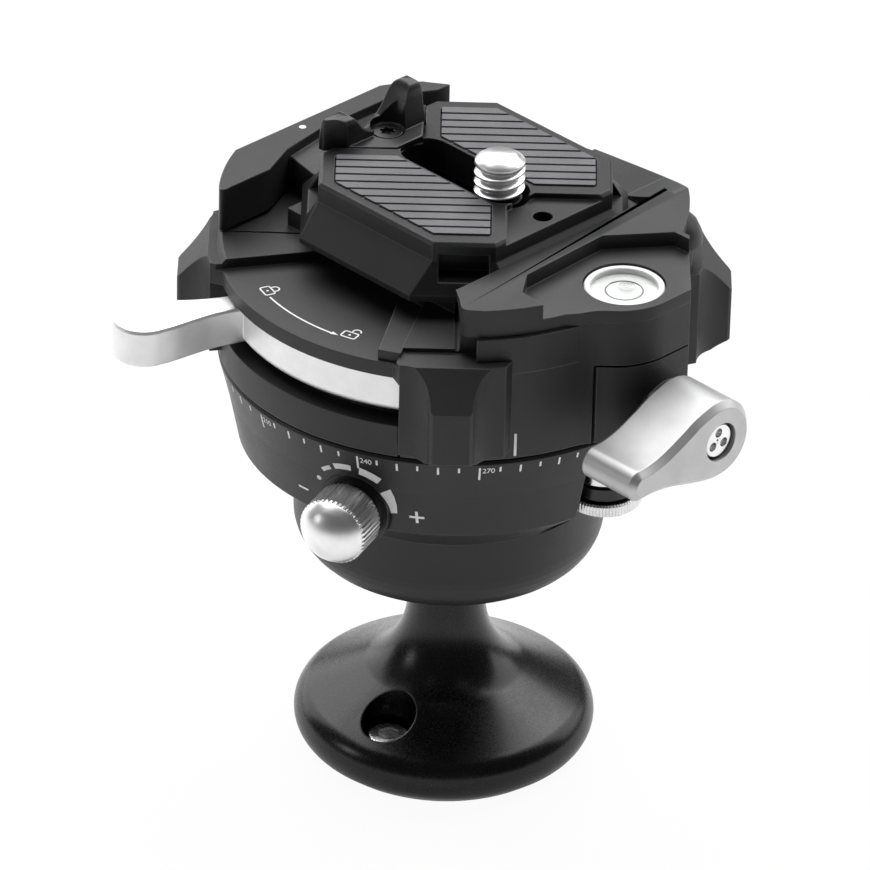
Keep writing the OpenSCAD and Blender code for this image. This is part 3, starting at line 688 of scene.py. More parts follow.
@dataclass(frozen=True)
class Blasted:
    """Bright bead-blasted aluminium, clear anodised."""

    name: str
    tone: float = 0.5
    shine: float = 0.48
    rounding: float = 0.12

    def build(self) -> bpy.types.Material:
        """Make the material."""
        sheet = Sheet(self.name)
        here = sheet.place()
        normal, edge_mask = sheet.edge(self.rounding)
        fine = sheet.noise(here, size=0.16, detail=2.0, rough=0.6)
        cloud = sheet.noise(here, size=4.0, detail=3.0, rough=0.55)
        ground = sheet.tint(cloud, shade(self.tone, 0.93), shade(self.tone, 1.05, 1.05, 1.06))
        rough = sheet.combine("SUBTRACT", sheet.spread(fine, self.shine - 0.04, self.shine + 0.05),
                           sheet.spread(edge_mask, 0.0, 0.12, 0.0, 1.0))
        return sheet.finish(Base_Color=ground, Metallic=1.0, Roughness=rough,
                            Normal=sheet.bump(fine, depth=0.004, normal=normal))


@dataclass(frozen=True)
class Turned:
    """Turned metal with fine rings about an axis."""

    name: str
    tone: float = 0.7
    shine: float = 0.22
    middle: tuple[float, float, float] = (0, 0, 0)
    turn: tuple[float, float, float] = (0, 0, 0)
    ring: float = 0.12
    depth: float = 0.002

    def build(self) -> bpy.types.Material:
        """Make the material."""
        sheet = Sheet(self.name)
        here = sheet.place(self.middle, self.turn)
        normal, _ = sheet.edge(radius=0.08)
        apart = sheet.node("ShaderNodeSeparateXYZ")
        sheet.feed(here, apart.inputs["Vector"])
        lines = sheet.node("ShaderNodeCombineXYZ")
        sheet.feed(sheet.radius(here), lines.inputs["X"])
        sheet.feed(apart.outputs["Z"], lines.inputs["Y"])
        rings = sheet.noise(lines.outputs["Vector"], size=self.ring, detail=2.0, rough=0.6)
        cloud = sheet.noise(here, size=2.5, detail=2.0)
        ground = sheet.tint(cloud, shade(self.tone, 0.92), shade(self.tone, 1.04))
        return sheet.finish(Base_Color=ground, Metallic=1.0,
                            Roughness=sheet.spread(rings, self.shine - 0.05, self.shine + 0.08),
                            Normal=sheet.bump(rings, self.depth, normal))


@dataclass(frozen=True)
class Rubber:
    """Dark ribbed rubber with a dusty bloom."""

    name: str
    tone: float = 0.095

    def build(self) -> bpy.types.Material:
        """Make the material."""
        sheet = Sheet(self.name)
        here = sheet.place()
        normal, _ = sheet.edge(radius=0.1)
        fine = sheet.noise(here, size=0.3, detail=3.0, rough=0.65)
        cloud = sheet.noise(here, size=5.0, detail=3.0)
        ground = sheet.tint(cloud, shade(self.tone, 0.85, 0.84, 0.9), shade(self.tone, 1.15, 1.14, 1.24))
        return sheet.finish(Base_Color=ground, Roughness=sheet.spread(fine, 0.42, 0.6),
                            Normal=sheet.bump(fine, depth=0.012, normal=normal))


@dataclass(frozen=True)
class Ink:
    """White printed ink, a little uneven at its edges."""

    name: str
    tone: float = 0.8

    def build(self) -> bpy.types.Material:
        """Make the material."""
        sheet = Sheet(self.name)
        here = sheet.place()
        grain = sheet.noise(here, size=0.12, detail=2.0)
        ground = sheet.tint(grain, shade(self.tone, 0.82), shade(self.tone, 1.0), 0.35, 0.55)
        return sheet.finish(Base_Color=ground, Roughness=sheet.spread(grain, 0.5, 0.65))


@dataclass(frozen=True)
class Gloss:
    """Moulded plastic, plain or tinted."""

    name: str
    colour: tuple[float, float, float] = (0.7, 0.7, 0.7)
    shine: float = 0.22

    def build(self) -> bpy.types.Material:
        """Make the material."""
        sheet = Sheet(self.name)
        here = sheet.place()
        normal, _ = sheet.edge(radius=0.1)
        swirl = sheet.noise(here, size=1.8, detail=2.0)
        ground = sheet.tint(swirl, tuple(c * 0.95 for c in self.colour), self.colour)
        return sheet.finish(Base_Color=ground, Roughness=sheet.spread(swirl, self.shine, self.shine + 0.06),
                            Normal=sheet.bump(swirl, depth=0.002, normal=normal))


@dataclass(frozen=True)
class Clear:
    """Clear lens: mostly see-through, with gloss that grows at glancing angles."""

    name: str
    colour: tuple[float, float, float] = (0.97, 0.98, 0.97)

    def build(self) -> bpy.types.Material:
        """Make the material."""
        sheet = Sheet(self.name)
        here = sheet.place()
        swirl = sheet.noise(here, size=2.0, detail=1.0)
        through = sheet.node("ShaderNodeBsdfTransparent", Color=(*self.colour, 1))
        rim = sheet.node("ShaderNodeFresnel", IOR=1.45)
        side = sheet.node("ShaderNodeNewGeometry")
        outside = sheet.combine("SUBTRACT", 1.0, side.outputs["Backfacing"])
        share = sheet.combine("MULTIPLY", rim.outputs["Fac"], outside)
        material = sheet.finish(Base_Color=(0.95, 0.95, 0.95, 1), Metallic=1.0,
                                Roughness=sheet.spread(swirl, 0.04, 0.08))
        glass = sheet.blend(share, through.outputs["BSDF"], sheet.surface.outputs["BSDF"])
        sheet.feed(glass, sheet.output.inputs["Surface"])
        return material


Finish = Anodised | Blasted | Turned | Rubber | Ink | Gloss | Clear


@dataclass
class Palette:
    """Every finish of the head, each made once when it is first asked for."""

    made: dict[str, bpy.types.Material] = field(default_factory=dict)

    def get(self, finish: Finish) -> bpy.types.Material:
        """The material of a finish.

        Args:
            finish: One of the finish classes' values.

        Returns:
            The material.
        """
        if finish.name not in self.made:
            self.made[finish.name] = finish.build()
        return self.made[finish.name]


PALETTE = Palette()

BODY = Anodised("body black anodised", tone=0.007, shine=0.46, level=0.42)
SHELL = Anodised("upper body black anodised", tone=0.010, shine=0.54)
FOOT = Anodised("foot black anodised", tone=0.002, shine=0.26, level=0.36, grain=0.3, depth=0.0012,
                rounding=0.3)
JAW = Anodised("jaw black anodised", tone=0.011, shine=0.52, rounding=0.18)
PLATE = Anodised("plate black anodised", tone=0.005, level=0.4, shine=0.46, rounding=0.32)
BRACKET = Anodised("bracket satin black", tone=0.010, shine=0.32, grain=0.3, rounding=0.25)
COATED = Anodised("dark fittings", tone=0.004, shine=0.35, rounding=0.12)
SILVER = Blasted("lever silver")
# Lighter copy of the lever silver for the release lever: its extra lightness is painted light for the
# brighter left side.
SILVER_WITH_PAINTED_LIGHT = Blasted("release silver with painted light", tone=0.8)
BALL = Turned("polished ball", tone=0.66, shine=0.09, middle=(0, 0, 38.5), depth=0.0004)
INNER = Turned("machined steel", tone=0.5, shine=0.3)
PAD = Rubber("ribbed pad rubber")
INK = Ink("white print")
WHITE = Gloss("level white")
MARK = Gloss("level ring black", colour=(0.02, 0.02, 0.02), shine=0.3)
LENS = Clear("level lens")


def dress(obj: Piece, finish: Finish) -> None:
    """Give a whole piece one finish.

    Args:
        obj: A new piece or a node of the frame.
        finish: One of the finish classes' values.
    """
    obj.data.materials.clear()
    obj.data.materials.append(PALETTE.get(finish))


def coat(finish: Finish, *nodes: str) -> None:
    """Give nodes of the frame a finish."""
    for node in nodes:
        dress(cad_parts[node], finish)
        LOG.info("node %s: %s", node, finish.name)


def mount(obj: Piece, body: str, finish: Finish, slot: str, *nodes: str) -> None:
    """Dress a new piece, let it ride on a body and stand for nodes.

    Args:
        obj: The piece.
        body: The body that carries it.
        finish: Its finish.
        slot: Name of a material slot; not used.
        nodes: Nodes that it stands for.
    """
    dress(obj, finish)
    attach(obj, body)
    if nodes:
        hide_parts(*nodes)
    LOG.info("piece %s rides on %s", obj.name, body)


# ------------------------------------------------------------ sub-assemblies

# Axis of the level in the fixed jaw, X and Y in millimetres.
LEVEL_AT = (2.1, -27.2)


@dataclass
class Foot:
    """Trumpet foot with the tripod thread and its locking screw."""

    rim: float = 3.6
    outer: float = 19.3
    rim_z: float = 3.9
    neck: float = 5.0
    flare: float = 11.5
    flare_z: float = 20.5
    neck_top: float = 24.2
    spigot: float = 4.0
    spigot_top: float = 33.0
    thread: float = 4.76
    thread_len: float = 9.0
    pitch: float = 1.5875
    screw_at: float = 13.2
    screw_az: float = -167.0
    bore: float = 3.5
    seat: float = 3.8
    screw_hole: float = 1.6
    screw_head: float = 2.7
    screw_high: float = 2.8
    screw_shank: float = 1.5
    socket: float = 1.45
    socket_floor: float = 1.2

    def bored(self) -> Outline:
        """Profile of the tripod thread's wall, from the top down."""
        crest, groove = self.thread - 0.6, self.thread - 0.02
        wall = [(0.0, self.thread_len), (self.thread - 0.5, self.thread_len)]
        height = self.thread_len - 0.4
        while height > self.pitch:
            wall += [(crest, height), (groove, height - self.pitch * 0.45),
                     (groove, height - self.pitch * 0.55)]
            height -= self.pitch
        return wall + [(crest, 0.75), (self.thread + 0.35, 0)]

    def build(self) -> None:
        """Make the foot and its screw."""
        rim_x = self.outer - self.rim
        flare_x = self.neck + self.flare
        profile = self.bored()
        shallow_ring = [(9.2, 0), (9.5, 0.3), (13.8, 0.3), (14.1, 0)]
        profile += [*shallow_ring, (rim_x + 0.9, 0)]
        profile += arc((rim_x, self.rim_z), self.rim, -62, 62, 16)
        profile += arc((flare_x, self.flare_z), self.flare, 238, 180, 20)
        profile += [(self.neck, self.neck_top), (self.spigot, self.neck_top + 0.01),
                    (self.spigot, self.spigot_top), (0.0, self.spigot_top)]
        foot = lathe("foot", profile, 144)
        way = turned(self.screw_az) @ at(self.screw_at)
        cut(foot, settle(rod("foot_bore", self.bore, self.seat, 20, 72), way))
        cut(foot, settle(rod("foot_screw_hole", self.screw_hole, -1, 20, 32), way))
        tidy_mesh(foot, 30)
        mount(foot, "base", FOOT, "foot_black", "base_foot")
        self.lock_screw(way)

    def lock_screw(self, way: Matrix) -> None:
        """Make the socket head screw in the counterbore.

        Args:
            way: Placement of the counterbore's axis.
        """
        top = self.seat + self.screw_high
        rings = [(self.seat, 0.94), (self.seat + 0.25, 1.0), (top - 0.45, 1.0), (top - 0.1, 0.93),
                 (top, 0.86)]
        head = knurled("foot_lock_screw_head", self.screw_head, 0.12, 30, rings)
        cut(head, rod("hex", self.socket, self.seat + self.socket_floor, top + 1, 6))
        shank = rod("foot_lock_screw_shank", self.screw_shank, 0.6, self.seat + 0.1, 32)
        screw = settle(join("foot_lock_screw", head, shank), way)
        tidy_mesh(screw, 25)
        mount(screw, "base", Turned("foot screw steel", tone=0.75, shine=0.26), "steel", "foot_lock_screw")


@dataclass
class BallJoint:
    """Polished ball with the pressure parts above it."""

    def build(self) -> None:
        """Dress the ball and the parts that press on it."""
        coat(BALL, "ball")
        coat(INNER, "pressure_cup", "thrust_ring")


@dataclass
class RimPrints:
    """White graduation on the housing's rim and marks round the friction knob."""

    top: float = 57.35
    proud: float = 0.03
    long_tick: float = 2.0
    ten_tick: float = 1.15
    five_tick: float = 0.8
    letter: float = 1.12
    zero_az: float = -262.9
    knob_az: float = -160.0
    knob_z: float = 48.6
    film: float = 0.02
    spacing: float = 0.94
    letter_film: float = 0.008
    letter_drop: float = 0.86
    wall: tuple[tuple[float, float], ...] = ((40.3, 19.7), (46.1, 26.9), (52.5, 28.2), (57.7, 29.5))

    def rim_radius(self, height: float) -> float:
        """Radius of the housing's outside at a height."""
        (low, inner), (high, outer) = next(
            pair for pair in pairwise(self.wall) if height < pair[1][0] or pair[1] == self.wall[-1])
        return inner + (height - low) * (outer - inner) / (high - low)

    def wrap(self, obj: Piece, direction: float, base: float) -> Piece:
        """Lay a flat print of width X and height Y round the rim.

        Args:
            obj: The flat print in millimetre units of metres.
            direction: Direction of the print's middle in degrees.
            base: Height of the print's Y zero.

        Returns:
            The same object.
        """
        for vertex in obj.data.vertices:
            across, up = vertex.co.x / MM, vertex.co.y / MM
            height = base + up
            radius = self.rim_radius(height) + self.proud + vertex.co.z / MM
            angle = math.radians(direction) + across / radius
            vertex.co = Vector((radius * math.cos(angle), radius * math.sin(angle), height)) * MM
        return obj

    def bar(self, width: float, low: float, high: float) -> Piece:
        """A flat upright bar with eased corners."""
        w = width / 2
        c = min(0.06, w * 0.4)
        return prism("bar", [(-w + c, low), (w - c, low), (w, low + c), (w, high - c), (w - c, high),
                             (-w + c, high), (-w, high - c), (-w, low + c)], -self.film, 0)

    def number(self, value: int) -> Piece:
        """A flat number that starts at X zero and hangs from Y zero."""
        deselect()
        bpy.ops.object.text_add(location=(0, 0, 0))
        text = bpy.context.object
        text.data.body = str(value)
        text.data.size = self.letter * MM
        text.data.resolution_u = 3
        text.data.space_character = self.spacing
        text.data.extrude = self.letter_film * MM
        bpy.ops.object.convert(target="MESH")
        return settle(bpy.context.object, at(0, -self.letter_drop * self.letter, 0))

    def graduation(self) -> None:
        """Make the scale of degrees all round."""
        marks: list[Piece] = []
        for degrees in range(0, 360, 5):
            direction = degrees + self.zero_az + FRONT
            numbered = degrees % 30 == 0
            length = self.long_tick if numbered else self.five_tick if degrees % 10 else self.ten_tick
            marks.append(self.wrap(self.bar(0.26, -length, 0), direction, self.top))
            if numbered:
                shift = math.degrees(0.3 / self.rim_radius(self.top))
                marks.append(self.wrap(self.number(degrees), direction + shift, self.top + 0.06))
        mount(tidy_mesh(join("degree_scale", *marks)), "housing", INK, "level_white")

    def block_mark(self, inner: float, outer: float, start: float, end: float) -> Piece:
        """A flat arc block about the knob's axis, angles from the right."""
        steps = max(4, int(abs(end - start) / 3))
        outline = arc((0, 0), outer, start, end, steps) + arc((0, 0), inner, end, start, steps)
        return prism("block", outline, -self.film, 0)

    def friction_marks(self) -> None:
        """Make the minus, the dot, the four growing blocks and the plus."""
        blocks = ((6.0, 6.6, 118, 132), (6.0, 6.85, 90, 112), (5.85, 7.0, 55, 80))
        wide_block = [(4.17, 0.24), (5.59, 0.49), (5.62, 1.8), (5.4, 3.1), (4.98, 4.27), (3.62, 3.32),
                      (3.98, 2.4), (4.17, 1.3)]
        spot = arc((-4.9, 3.05), 0.34, 0, 345, 23)
        minus = [(-8.5, 0.0), (-6.9, 0.0), (-6.9, 0.3), (-8.5, 0.3)]
        plus = [(7.1, 0.05), (7.85, 0.05), (7.85, -0.7), (8.2, -0.7), (8.2, 0.05), (8.95, 0.05), (8.95, 0.4),
                (8.2, 0.4), (8.2, 1.15), (7.85, 1.15), (7.85, 0.4), (7.1, 0.4)]
        marks = [self.block_mark(*sizes) for sizes in blocks]
        marks += [prism("mark", outline, -self.film, 0) for outline in (wide_block, spot, minus, plus)]
        laid = [self.wrap(self.finer(mark), self.knob_az, self.knob_z) for mark in marks]
        mount(tidy_mesh(join("friction_marks", *laid)), "housing", INK, "level_white")

    def finer(self, obj: Piece) -> Piece:
        """Split a flat mark's faces so that it can follow the rim."""
        with editing(obj, Pick.FACE):
            bpy.ops.mesh.select_all(action="SELECT")
            bpy.ops.mesh.quads_convert_to_tris()
            bpy.ops.mesh.subdivide(number_cuts=1)
        return obj

    def build(self) -> None:
        """Make all prints of the rim."""
        self.graduation()
        self.friction_marks()


@dataclass
class FrictionKnob:
    """Knurled knob with a turned dome, on the housing's side."""

    direction: float = -160.0
    inner: float = 29.2
    height: float = 48.6
    radius: float = 4.4
    length: float = 4.8
    dome: float = 2.5

    def build(self) -> None:
        """Make the knob."""
        tall = self.length
        grip = knurled("friction_knob", self.radius, 0.2, 44,
                       [(0, 0.95), (0.2, 1.0), (tall - 0.3, 1.0), (tall, 0.955), (tall + 0.05, 0.9)])
        lip = self.radius - 0.22
        rise = (lip * lip + self.dome * self.dome) / (2 * self.dome)
        sweep = math.degrees(math.asin(lip / rise))
        crown = arc((0, tall + self.dome - rise), rise, 90 - sweep, 90, 24)
        crown[-1] = (0.0, tall + self.dome)
        cap = lathe("friction_knob_crown", [(0, tall - 0.6), (lip, tall - 0.6), (lip, tall)] + crown[1:], 96)
        hub = lathe("friction_knob_hub", [(0, -1.2), (3.4, -1.2), (3.4, 0.2), (0, 0.2)], 64)
        place = turned(self.direction) @ at(self.inner, 0, self.height) @ turned(90, "Y")
        knob = settle(join("friction_knob", grip, cap, hub), place)
        along = (turned(-90, "Y") @ turned(-self.direction)).to_euler()
        finish = Turned("knob turned aluminium", tone=0.85, shine=0.34, ring=0.1, depth=0.0006,
                        middle=(0, 0, self.height), turn=tuple(math.degrees(a) for a in along))
        mount(knob, "friction_knob", finish, "knob_silver", "friction_knob")
        coat(INNER, "friction_shaft")
        coat(COATED, "knob_seat")


@dataclass
class PanLock:
    """Knurled wheel under the lever, with its dark hub and bright cap."""

    x: float = 2.1
    y: float = -24.9
    radius: float = 4.8
    low: float = 45.4
    high: float = 47.1

    def build(self) -> None:
        """Make the wheel and dress the hub and the cap."""
        wheel = knurled("pan_lock_wheel", self.radius, 0.1, 72,
                        [(self.low, 0.93), (self.low + 0.3, 1.0), (self.high - 0.2, 1.0), (self.high, 0.95)])
        settle(wheel, at(self.x, self.y))
        finish = Turned("wheel aluminium", tone=0.7, shine=0.25, middle=(self.x, self.y, 0))
        mount(wheel, "pan_lock", finish, "knob_silver", "pan_lock_wheel")
        coat(COATED, "pan_lock_hub")
        coat(Turned("pan lock steel", tone=0.7, shine=0.2, middle=(self.x, self.y, 0)), "pan_lock_pin")


@dataclass
class Housing:
    """Ball housing with its rim prints."""

    def build(self) -> None:
        """Dress the housing and lay the prints on it."""
        coat(BODY, "ball_housing")
        RimPrints().build()


@dataclass
class DeckPrints:
    """Lock marks on the sunken sector and the index line on the skirt."""

    deck: float = 71.5
    proud: float = 0.02
    line: float = 0.24
    film: float = 0.015
    sweep_r: float = 26.25
    tip_r: float = 26.2
    tip_az: float = -169.2
    index_az: float = 15.45
    index_z: float = 58.75
    skirt: float = 29.5

    def band(self, points: Sequence[Point], width: float, closed: bool = False) -> Piece:
        """A flat line of one width along points.

        Args:
            points: Middle of the line in millimetres.
            width: Width of the line.
            closed: Whether the line returns to its start.

        Returns:
            The flat line at height zero.
        """
        spots = [Vector(p) for p in points]
        count = len(spots)
        sides: list[tuple[Vector, Vector]] = []
        for i, spot in enumerate(spots):
            ahead = spots[(i + 1) % count] if closed or i + 1 < count else spot
            behind = spots[i - 1] if closed or i else spot
            way = (ahead - behind).normalized()
            off = Vector((-way.y, way.x)) * width / 2
            sides.append((spot + off, spot - off))
        left, right = [a for a, _ in sides], [b for _, b in sides]
        if not closed:
            return prism("band", left + right[::-1], 0, self.film)
        return cut(prism("band", right, 0, self.film), prism("hole", left, -1, 1))

    def padlock(self, x: float, y: float, shut: bool) -> Piece:
        """A small padlock, upright as seen from outside.

        Args:
            x: Middle of the icon.
            y: Middle of the icon.
            shut: Whether the shackle is closed.

        Returns:
            The icon on the deck.
        """
        corners_at = ((0.72, -0.45), (0.72, 0.35), (-0.72, 0.35), (-0.72, -0.45))
        outline = [spot for i, corner in enumerate(corners_at)
                   for spot in arc(corner, 0.25, i * 90 - 90, i * 90, 3)]
        body = self.band(outline, 0.2, True)
        key = prism("key", arc((0, -0.05), 0.17, 0, 330, 11), 0, self.film)
        side = 0.0 if shut else 0.42
        foot = [] if not shut else [(0.52 + side, 0.6)]
        bow = self.band(foot + arc((side, 1.0), 0.52, 0, 180, 8) + [(-0.52 + side, 0.6)], 0.2)
        facing = math.degrees(math.atan2(y, x)) + 90
        return settle(join("padlock", body, key, bow), at(x, y, self.deck + self.proud) @ turned(facing))

    def build(self) -> None:
        """Make the marks."""
        sweep = self.band(arc((0, 0), self.sweep_r, -194.6, -169.6, 24), self.line)
        tip_az = math.radians(self.tip_az)
        tip = prism("tip", [(0.8, 0.0), (-0.2, 0.34), (-0.2, -0.34)], 0, self.film)
        end = at(self.tip_r * math.cos(tip_az), self.tip_r * math.sin(tip_az))
        settle(tip, end @ turned(self.tip_az + 90))
        flat = settle(join("travel_arc", sweep, tip), at(0, 0, self.deck + self.proud))
        shut, open_ = self.padlock(-24.5, 7.95, True), self.padlock(-24.45, -6.6, False)
        mount(tidy_mesh(join("lock_marks", flat, shut, open_)), "upper", INK, "level_white")
        index = prism("index_line", [(-0.17, 0), (0.17, 0), (0.17, 3.15), (-0.17, 3.15)], -0.02, 0)
        for vertex in index.data.vertices:
            angle = math.radians(self.index_az + FRONT) + vertex.co.x / MM / self.skirt
            radius = self.skirt + self.proud + vertex.co.z / MM
            height = self.index_z + vertex.co.y / MM
            vertex.co = Vector((radius * math.cos(angle), radius * math.sin(angle), height)) * MM
        mount(tidy_mesh(index), "upper", INK, "level_white")


@dataclass
class UpperBody:
    """Turning shell with its lobes, clamp core and prints."""

    step_low: float = 71.45
    step_high: float = 72.86
    step_r: float = 29.1

    def build(self) -> None:
        """Dress the shell and the core and lay the prints."""
        coat(SHELL, "pan_shell", "clamp_core")
        coat(INNER, "lock_plunger")
        rim = arc((0, 0), self.step_r, -153.2, -147.6, 5)
        corners_at = [(-16.5, -6.57), (-26.0, -13.15), *rim, (-15.0, -9.4)]
        step = prism("deck_step", corners_at, self.step_low, self.step_high)
        mount(ease(step, 0.2, 2), "upper", SHELL, "body_black")
        DeckPrints().build()


@dataclass
class ReleaseLever:
    """Silver ring band with its teardrop handle."""

    azimuth: float = -204.0
    inner: float = 25.0
    outer: float = 28.45
    low: float = 64.05
    high: float = 69.2
    before: float = 12.0
    after: float = 58.0
    hub: float = 5.2
    hub_in: float = 3.05
    hub_high: float = 66.5
    bore: float = 4.6
    arm: tuple[float, float] = (25.6, 4.0)
    tip_x: float = 40.8
    tip_r: float = 3.9

    def handle(self) -> Outline:
        """Outline of the arm and the teardrop, X along the handle."""
        one_side = [(24.0, 1.7), (29.0, 1.75), (32.4, 2.05), (35.4, 2.75), (38.0, 3.45)]
        round_end = arc((self.tip_x, 0), self.tip_r, 95, -95, 19)
        other = [(x, -y) for x, y in reversed(one_side)]
        start = smooth_chain(one_side + round_end[:1], 4)
        return start[:-1] + round_end + smooth_chain(round_end[-1:] + other, 4)[1:]

    def build(self) -> None:
        """Make the lever."""
        start, end = self.azimuth - self.before, self.azimuth + self.after
        curve = arc((0, 0), self.outer, start, end, 48) + arc((0, 0), self.inner, end, start, 48)
        band = prism("release_band", curve, self.low, self.high)
        bevel_level(band, self.low, 0.9, 5, self.outer - 0.05)
        bevel_level(band, self.high, 0.25, 2, self.outer - 0.05)
        arm = prism("release_handle", self.handle(), self.low, self.high)
        bevel_level(arm, self.high, 0.55, 2)
        bevel_level(arm, self.low, 0.35, 2)
        settle(arm, turned(self.azimuth))
        reach, half = self.arm
        inner_arm = block("release_arm", (0, -half, self.low), (reach, half, self.hub_high))
        settle(inner_arm, turned(self.azimuth))
        profile = [(self.hub_in, self.low), (self.hub, self.low), (self.hub, self.hub_high - 0.2),
                   (self.hub - 0.2, self.hub_high), (self.hub_in, self.hub_high)]
        hub = lathe("release_hub", profile, 64, True)
        cut(inner_arm, rod("release_bore", self.bore, self.low - 1, 68, 64))
        lever = join("release_lever", tidy_mesh(band), tidy_mesh(arm), inner_arm, hub)
        # The band takes the lighter silver, whose extra lightness is painted light.
        mount(tidy_mesh(lever, 30), "release_lever", SILVER_WITH_PAINTED_LIGHT, "lever_silver", "release_lever")
        coat(INNER, "crank_pin")


@dataclass
class MainLever:
    """Main lock lever with its screw, shaft and washer."""

    x: float = 2.1
    z: float = 62.3
    back: float = 35.6
    width: float = 8.8
    hub: float = 5.3
    chamfer: float = 0.8
    head: float = 2.3
    head_low: float = 6.6
    shank: float = 1.5
    key_r: float = 0.6
    key_circle: float = 1.08

    def outline(self) -> Outline:
        """Side outline: round end, hollow flanks and rounded tip."""
        tip = arc((-13.2, -1.0), 2.15, 108, 262, 14)
        low_side = [(-10.9, -3.05), (-8.0, -3.45), (-5.2, -4.2), (-2.6, -4.9), (-1.0, -5.2)]
        under = smooth_chain([tip[-1], *low_side], 5)
        round_end = arc((0, 0), self.hub, -100, 106, 44)
        high_side = [(-3.9, 4.3), (-6.4, 3.05), (-9.4, 1.75), (-11.8, 1.15)]
        over = smooth_chain([round_end[-1], *high_side, tip[0]], 5)
        return tip[:-1] + under[:-1] + round_end[:-1] + over[:-1]

    def placed(self, obj: Piece) -> Piece:
        """Turn a piece made along Z to lie along the lever's axis."""
        return settle(obj, at(self.x, -self.back, self.z) @ turned(90, "X"))

    def build(self) -> None:
        """Make the lever and its screw."""
        lever = prism("main_lever", self.outline(), 0, self.width)
        bevel_level(lever, self.width, self.chamfer, 1)
        bevel_level(lever, 0, 0.3, 2)
        cut(lever, rod("lever_counterbore", 2.55, self.width - 2.2, self.width + 1, 64))
        cut(lever, rod("lever_bore", 1.55, -1, self.width + 1, 48))
        mount(self.placed(tidy_mesh(lever, 28)), "main_lever", SILVER, "lever_silver", "main_lever")
        top = self.width - 0.45
        profile = [(0, -1.6), (self.shank, -1.6), (self.shank, self.head_low), (self.head, self.head_low),
                   (self.head, top - 0.25), (self.head - 0.2, top), (0.35, top), (0.25, top + 0.15),
                   (0, top + 0.15)]
        head = lathe("lever_screw", profile, 64)
        for turn in (90, 210, 330):
            way = turned(turn) @ at(self.key_circle)
            cut(head, settle(rod("key_hole", self.key_r, self.width - 1.6, self.width + 1, 24), way))
        axis = {"middle": (self.x, 0, self.z), "turn": (90, 0, 0)}
        finish = Turned("lever screw steel", tone=0.75, shine=0.18, **axis)
        mount(self.placed(tidy_mesh(head)), "main_lever", finish, "steel", "lever_screw")
        coat(Turned("lever shaft steel", tone=0.6, shine=0.25, **axis), "lever_shaft", "lever_washer")


@dataclass
class FixedJaw:
    """Fixed jaw with its sunken plateau, boss and ramp, over the shell's front rise."""

    low: float = 75.41
    top: float = 79.2
    plateau: float = 77.2
    outer: float = 28.9
    boss_r: float = 8.3
    boss_x: float = 2.5
    boss_y: float = -25.3
    fillet: float = 7.0
    fillet_x: float = -9.02
    fillet_y: float = -35.37
    stop_x: float = 20.2
    ramp_r: float = 44.7
    ramp_y: float = 4.0
    ramp_z: float = 73.3
    seat_r: float = 5.14
    seat_z: float = 75.49
    rise_r: float = 29.52
    rise_in: float = 26.0
    rise_z: float = 70.4

    def outline(self) -> Outline:
        """Outline seen from above: rounded nose, rim, fillet, boss and ramp side."""
        nose = smooth_chain([(-16.7, -17.0), (-17.9, -18.8), (-18.95, -20.2), (-19.05, -21.1), (-18.4, -22.0),
                             (-17.6, -22.9)], 4)
        rim = arc((0, 0), self.outer, -126, -107, 10)
        hollow = arc((self.fillet_x, self.fillet_y), self.fillet, 72, 41.2, 8)
        boss = arc((self.boss_x, self.boss_y), self.boss_r, 223, 270, 16)
        far = arc((0, 0), self.outer, -61, 8, 36)
        return [(-16.7, -16.2), *nose, *rim, *hollow, *boss, (7.2, -33.6), (14.0, -26.6), *far,
                (self.stop_x, self.ramp_y), (self.stop_x, -16.2)]

    def build(self) -> None:
        """Make the jaw and the rise under its front."""
        jaw = prism("fixed_jaw", self.outline(), self.low, self.top)
        cheek = lathe("cheek", [(0, self.low), (3.9, self.low), (3.75, self.low + 1.1), (3.1, self.low + 2.5),
                                (1.9, self.top - 0.1), (0, self.top - 0.1)], 64)
        cut(jaw, settle(cheek, turned(-51.5) @ at(26.9)), Cut.ON)
        slope = [(-19.68, 74), (-19.68, 76.2), (-16.85, self.top), (-16.85, 82), (0, 82), (0, 74)]
        cut(jaw, settle(prism("wedge", slope, -30, self.stop_x), turned(90) @ turned(90, "X")))
        sunken = [(-11, -22.6), (-7.6, -20), (6, -19.4), (13.3, -24.8), (13.6, -40), (-12.4, -40)]
        cut(jaw, prism("pocket", sunken, self.plateau, 90))
        wheel = rod("ramp_cutter", self.ramp_r, self.stop_x, 50, 360)
        cut(jaw, settle(wheel, at(0, self.ramp_y, self.ramp_z + self.ramp_r) @ turned(90, "Y")))
        ease(jaw, 0.3, 3, 38)
        cut(jaw, settle(rod("vial_seat", self.seat_r, self.seat_z, 90, 96), at(*LEVEL_AT)))
        mount(tidy_mesh(jaw, 32), "upper", JAW, "jaw_black", "fixed_jaw")
        curve = arc((0, 0), self.rise_r, -129.5, -103.5, 24) + arc((0, 0), self.rise_in, -103.5, -127, 20)
        mount(prism("jaw_rise", curve, self.rise_z, self.low - 0.03), "upper", SHELL, "body_black")


